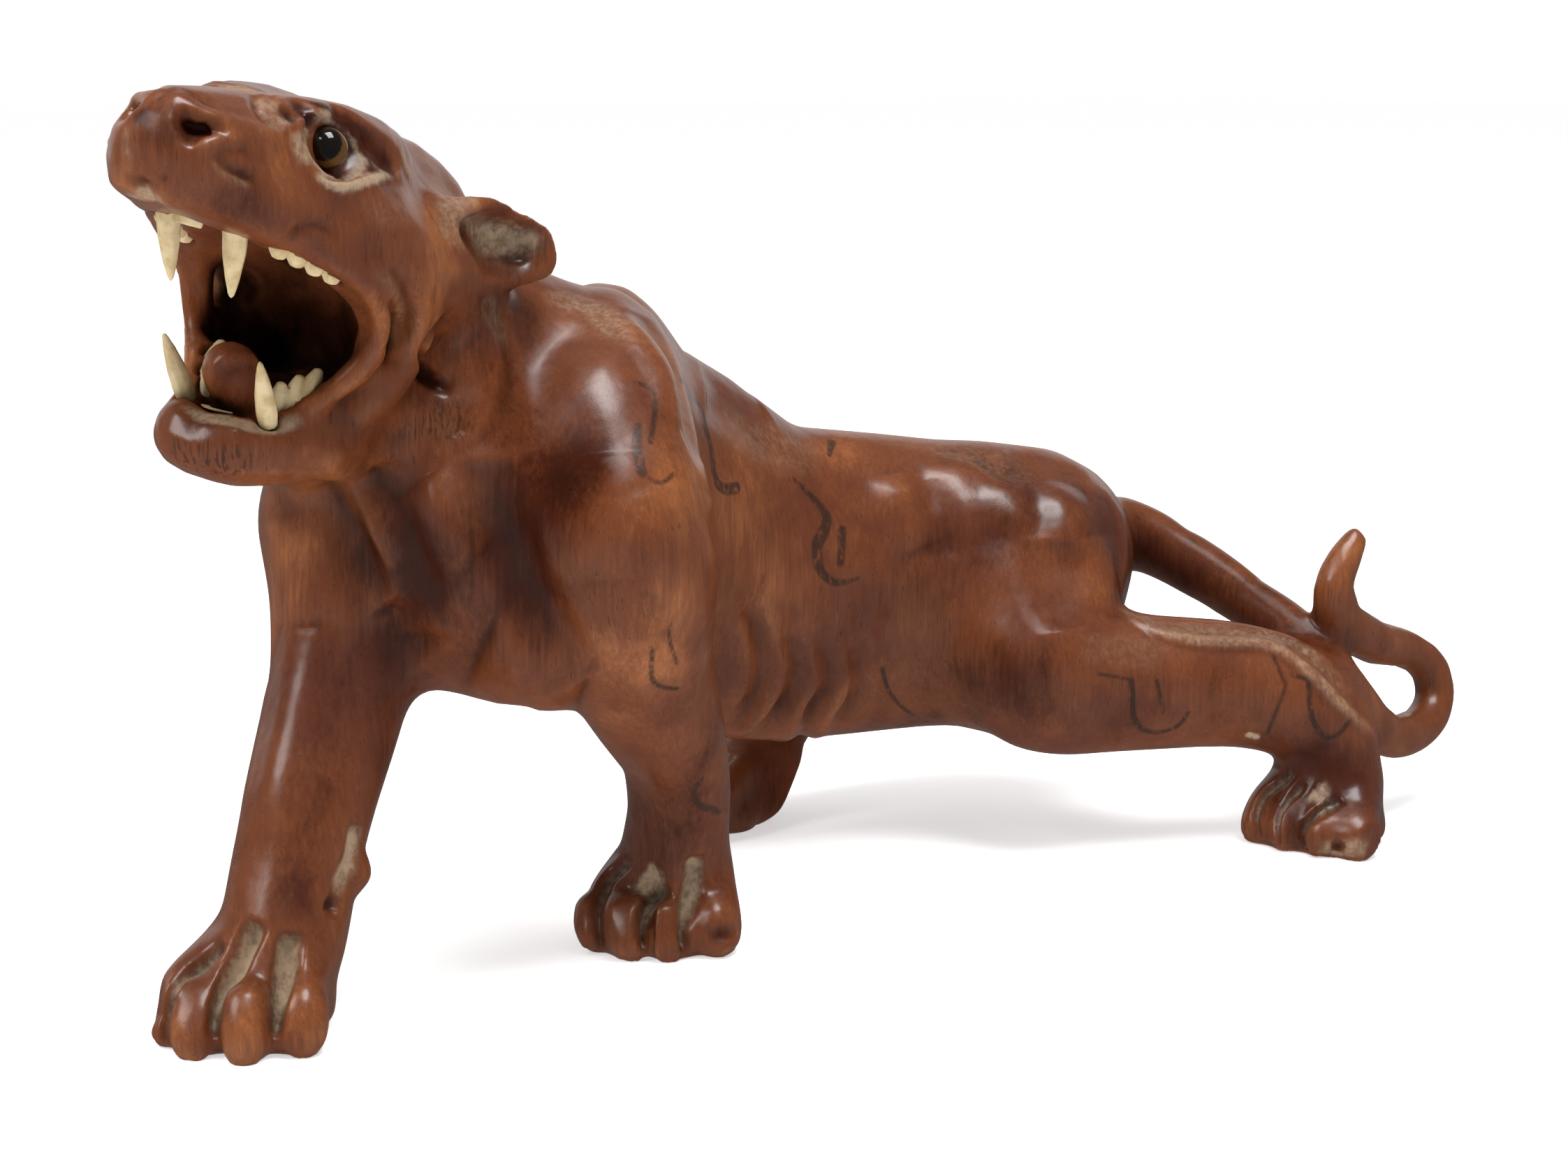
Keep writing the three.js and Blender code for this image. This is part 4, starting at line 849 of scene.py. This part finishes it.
material, shader, place = new_finish("waxed_hardwood")
ridge = place.attribute("ridge")
swell_shade = place.attribute("swell_shade")
clouds = place.noise(38 * mm, detail=3, roughness=0.6)
patches = place.noise(9 * mm, stretch=(1, 1, 1.8), detail=3, shift=(5, 2, 1))
fibres = place.noise(0.9 * mm, stretch=(1, 1, 18), detail=3, roughness=0.65)
threads = place.noise(0.35 * mm, stretch=(1, 1, 12), detail=1)
tone = clouds * 0.8 + patches * 0.8 + fibres * 0.5 + place.attribute("stain_and_shade") * 0.3
# The broad swell lightens bulges and darkens broad hollows as painted shade; rubbed ridges are
# lighter.
tone = tone + swell_shade * 0.16 + ridge * 0.12 - 0.64
colour = tone.step(-0.2, 0.5).over(wood_dark, wood_middle)
colour = tone.step(0.45, 1.15).over(colour, wood_orange)
plum = place.noise(24 * mm, detail=3, roughness=0.6, shift=(9, 4, 6)).step(0.46, 0.66)
colour = (plum * 0.6).over(colour, wood_plum)
colour = (0.62 + fibres * 0.5 + threads * 0.26).times(colour)
pores = threads.step(0.58, 0.70) * fibres.step(0.45, 0.6)
colour = (1 - pores * 0.5).times(colour)
# Fine hollows are darkened.
hollow = (0 - ridge).step(0.1, 1.2)
colour = (1 - hollow * 0.4).times(colour)
edge = place.noise(1.1 * mm, stretch=(1, 1, 2), detail=3, shift=(3, 3, 3))
line = place.attribute("burn") + (edge - 0.5) * 0.8
scorched = (1 - line.step(-0.3, 0.35)) * edge.step(0.28, 0.5)
colour = (scorched * 0.8).over(colour, burnt)
flecks = place.noise(1.6 * mm, detail=3, roughness=0.7, shift=(7, 1, 4))
# Pale grey beige: dust in the cuts, and painted sheen on the upper sides.
dust_and_sheen_kept = place.attribute("dust")
uneven = (flecks - 0.5) * 0.65 + (fibres - 0.5) * 0.5
dusty = (dust_and_sheen_kept + uneven * dust_and_sheen_kept.step(0, 0.5)).step(0.05, 1.15)
dust_and_sheen_colour = (flecks + dusty * 0.15).step(0.4, 0.72).over(dust_and_sheen_brown, dust_and_sheen_grey)
colour = (dusty * 0.85).over(colour, dust_and_sheen_colour)
hairs = place.noise(0.7 * mm, stretch=(1, 1, 14), detail=1, shift=(2, 2, 6))
combed = place.attribute("fur").step(0.1, 0.8)
colour = (1 - combed * hairs.step(0.5, 0.6) * 0.5).times(colour)
# Dulled patches take a matt shader. Where the layer is high, inside the mouth and where patches add
# up, the colour is painted nearly black as shade.
shade_and_dull_mask = place.attribute("shade_and_dull")
dull = shade_and_dull_mask.step(0.05, 0.45)
depth = shade_and_dull_mask.step(0.35, 0.95)
colour = (1 - depth * 0.95).times(colour)
speckle = place.noise(0.5 * mm, detail=1, roughness=0.6, shift=(1, 8, 2))
facets = place.noise(5 * mm, detail=1, shift=(2, 6, 8))
height = speckle * 0.16 + fibres * 0.3 + facets * 2.6 + combed * hairs * 2.4
bump = place.node("ShaderNodeBump", None, {"Height": height, "Distance": 0.1 * mm, "Strength": 0.8})
rough = 0.32 + (speckle - 0.5) * 0.12 + pores * 0.1 + (patches - 0.5) * 0.2 + dusty * 0.5
wear(shader, Base_Color=colour, Roughness=rough, Normal=bump, Coat_Weight=(1 - dusty) * 0.18,
     Coat_Roughness=0.2, IOR=1.4)
waxed = Finish(material.node_tree, shader.outputs[0])
bare = place.node("ShaderNodeBsdfPrincipled", None,
                  {"Base Color": colour, "Roughness": 0.8, "Normal": bump, "IOR": 1.12})
handled = place.node("ShaderNodeMixShader", None, {0: dull, 1: waxed, 2: bare})
output = material.node_tree.nodes["Material Output"]
material.node_tree.links.new(handled.socket, output.inputs["Surface"])
wood.data.materials.append(material)

# Teeth
# Small pegs and slips of bone, each let into its own socket in the jaws.
bone_cell = 0.25 * mm
bone_rounds = 8
bone_pale = (0.57, 0.45, 0.26, 1)
bone_yellow = (0.42, 0.30, 0.14, 1)

bone, shader, place = new_finish("old_bone")
streaks = place.noise(0.4 * mm, stretch=(1, 1, 12), detail=2)
yellowing = place.noise(3.5 * mm, detail=3, shift=(4, 4, 0))
colour = (yellowing * 0.9 + streaks * 0.15).step(0.35, 0.65).over(bone_yellow, bone_pale)
bump = place.node("ShaderNodeBump", None, {"Height": streaks, "Distance": 0.05 * mm})
wear(shader, Base_Color=colour, Roughness=0.3 + streaks * 0.2, Normal=bump)

# How much of its length and its width each kind of tooth keeps, measured from the jaw.
crowns = {"upper_cheek_teeth": (0.72, 1.0), "lower_cheek_teeth": (0.68, 1.0),
          "upper_front_slip": (0.8, 0.6), "lower_front_slip": (0.15, 0.55)}
for node in sorted(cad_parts):
    if node == "tiger" or node.endswith("eye"):
        continue
    tooth = even_copy(node, f"bone_{node}", bone_cell)
    spots, lines = read_mesh(tooth)
    spots = rub(spots, lines, np.ones(len(spots)), bone_rounds)
    long, wide = next((size for kind, size in crowns.items() if kind in node), (1.0, 1.0))
    local = (spots - head_place) @ head_axes.T
    gum = local[:, 2].max() if "upper" in node else local[:, 2].min()
    centre = (local.max(0) + local.min(0))[1] / 2
    local[:, 2] = gum + (local[:, 2] - gum) * long
    local[:, 1] = centre + (local[:, 1] - centre) * wide
    spots = head_place + local @ head_axes
    tooth.data.vertices.foreach_set("co", spots.ravel())
    tooth.data.update()
    tooth.data.shade_smooth()
    tooth.data.materials.append(bone)
    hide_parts(node)
    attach(tooth, "root")

# Eyes
# Balls of amber glass with a wide black pupil, set deep in their sockets. They look ahead.
# The iris is kept on the ball as a ring round the gaze, in degrees from it.
eye_radius = 3.55 * mm
iris_amber = (0.085, 0.038, 0.008, 1)
iris_black = (0.004, 0.003, 0.002, 1)
gaze_ahead = (0.86, 0.2, 0.24)  # forward, outward and up in the head's axes

glass, shader, place = new_finish("eye_glass")
colour = place.attribute("iris").step(0.0, 1.0).over(iris_black, iris_amber)
wear(shader, Base_Color=colour, Roughness=0.08, Coat_Weight=0.3, Coat_Roughness=0.02, IOR=1.35)

for side, outward in (("left", 1), ("right", -1)):
    low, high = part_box(f"{side}_eye")
    middle = (np.array(low) + np.array(high)) / 2
    bpy.ops.object.select_all(action="DESELECT")
    bpy.ops.mesh.primitive_uv_sphere_add(segments=48, ring_count=32, radius=eye_radius,
                                         location=middle)
    eye = bpy.context.object
    eye.name = f"glass_{side}_eye"
    bpy.ops.object.transform_apply(location=True, rotation=True, scale=True)
    spots = np.array([v.co for v in eye.data.vertices])
    local = (spots - middle) @ head_axes.T / eye_radius
    gaze = np.array(gaze_ahead) * (1, outward, 1)
    gaze /= np.linalg.norm(gaze)
    away = np.degrees(np.arccos(np.clip(local @ gaze, -1, 1)))
    iris = ease(away, 55, 62) * (1 - 0.8 * ease(away, 78, 105))
    eye.data.attributes.new("iris", "FLOAT", "POINT").data.foreach_set(
        "value", np.ascontiguousarray(iris, np.float32))
    eye.data.shade_smooth()
    eye.data.materials.append(glass)
    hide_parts(f"{side}_eye")
    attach(eye, "root")

# Table and light
# A white table that runs on to the horizon, under one broad soft light from above. A soft box
# overhead and one in front of the tiger make the highlights, and a pale wall behind it, which
# only gloss shows, makes the rims.
sky_strength = 0.16
table_glow = 0.54
table_size = 24
lamp_aim = Vector((-0.02, 0, 0.07))
ceiling_strength, ceiling_spread = 1.2, math.radians(90)
lamps = (("overhead", (-0.02, -0.27, 1.2), 0.50, 0.70, 14.5),
         ("front", (-1.0, 0.10, 0.95), 0.66, 0.60, 9.0),
         ("wall", (0.45, 1.1, 0.45), 2.6, 0.8, 4.0))  # place, width, height, watts

bpy.ops.object.select_all(action="DESELECT")
bpy.ops.mesh.primitive_plane_add(size=table_size)
table = bpy.context.object
table.name = "table"
white, shader, place = new_finish("white_paper")
wear(shader, Base_Color=(0.9, 0.9, 0.9, 1), Roughness=0.6 + place.noise(0.02) * 0.2,
     Emission_Color=(1, 1, 1, 1), Emission_Strength=table_glow)
table.data.materials.append(white)
table.visible_glossy = False  # the room in front of the table was dark

for name, spot, width, height, watts in lamps:
    light = bpy.data.lights.new(name, "AREA")
    light.shape = "RECTANGLE"
    light.size, light.size_y = width, height
    light.energy = watts
    lamp = bpy.data.objects.new(name, light)
    lamp.location = spot
    aim = lamp_aim - Vector(spot)
    lamp.rotation_euler = aim.to_track_quat("-Z", "Y").to_euler()
    lamp.visible_camera = False
    lamp.visible_diffuse = name != "wall"
    bpy.context.scene.collection.objects.link(lamp)

light = bpy.data.lights.new("ceiling", "SUN")
light.energy = ceiling_strength
light.angle = ceiling_spread
ceiling = bpy.data.objects.new("ceiling", light)
ceiling.visible_glossy = False
bpy.context.scene.collection.objects.link(ceiling)

world = bpy.data.worlds.new("sky")
bpy.context.scene.world = world
world.use_nodes = True
backdrop = world.node_tree.nodes["Background"]
backdrop.inputs["Color"].default_value = (1, 1, 1, 1)
seen_directly = Finish(world.node_tree).node("ShaderNodeLightPath")  # by the camera
strength = seen_directly * (1 - sky_strength) + sky_strength
world.node_tree.links.new(strength.socket, backdrop.inputs["Strength"])
bpy.context.scene.view_settings.view_transform = "Standard"
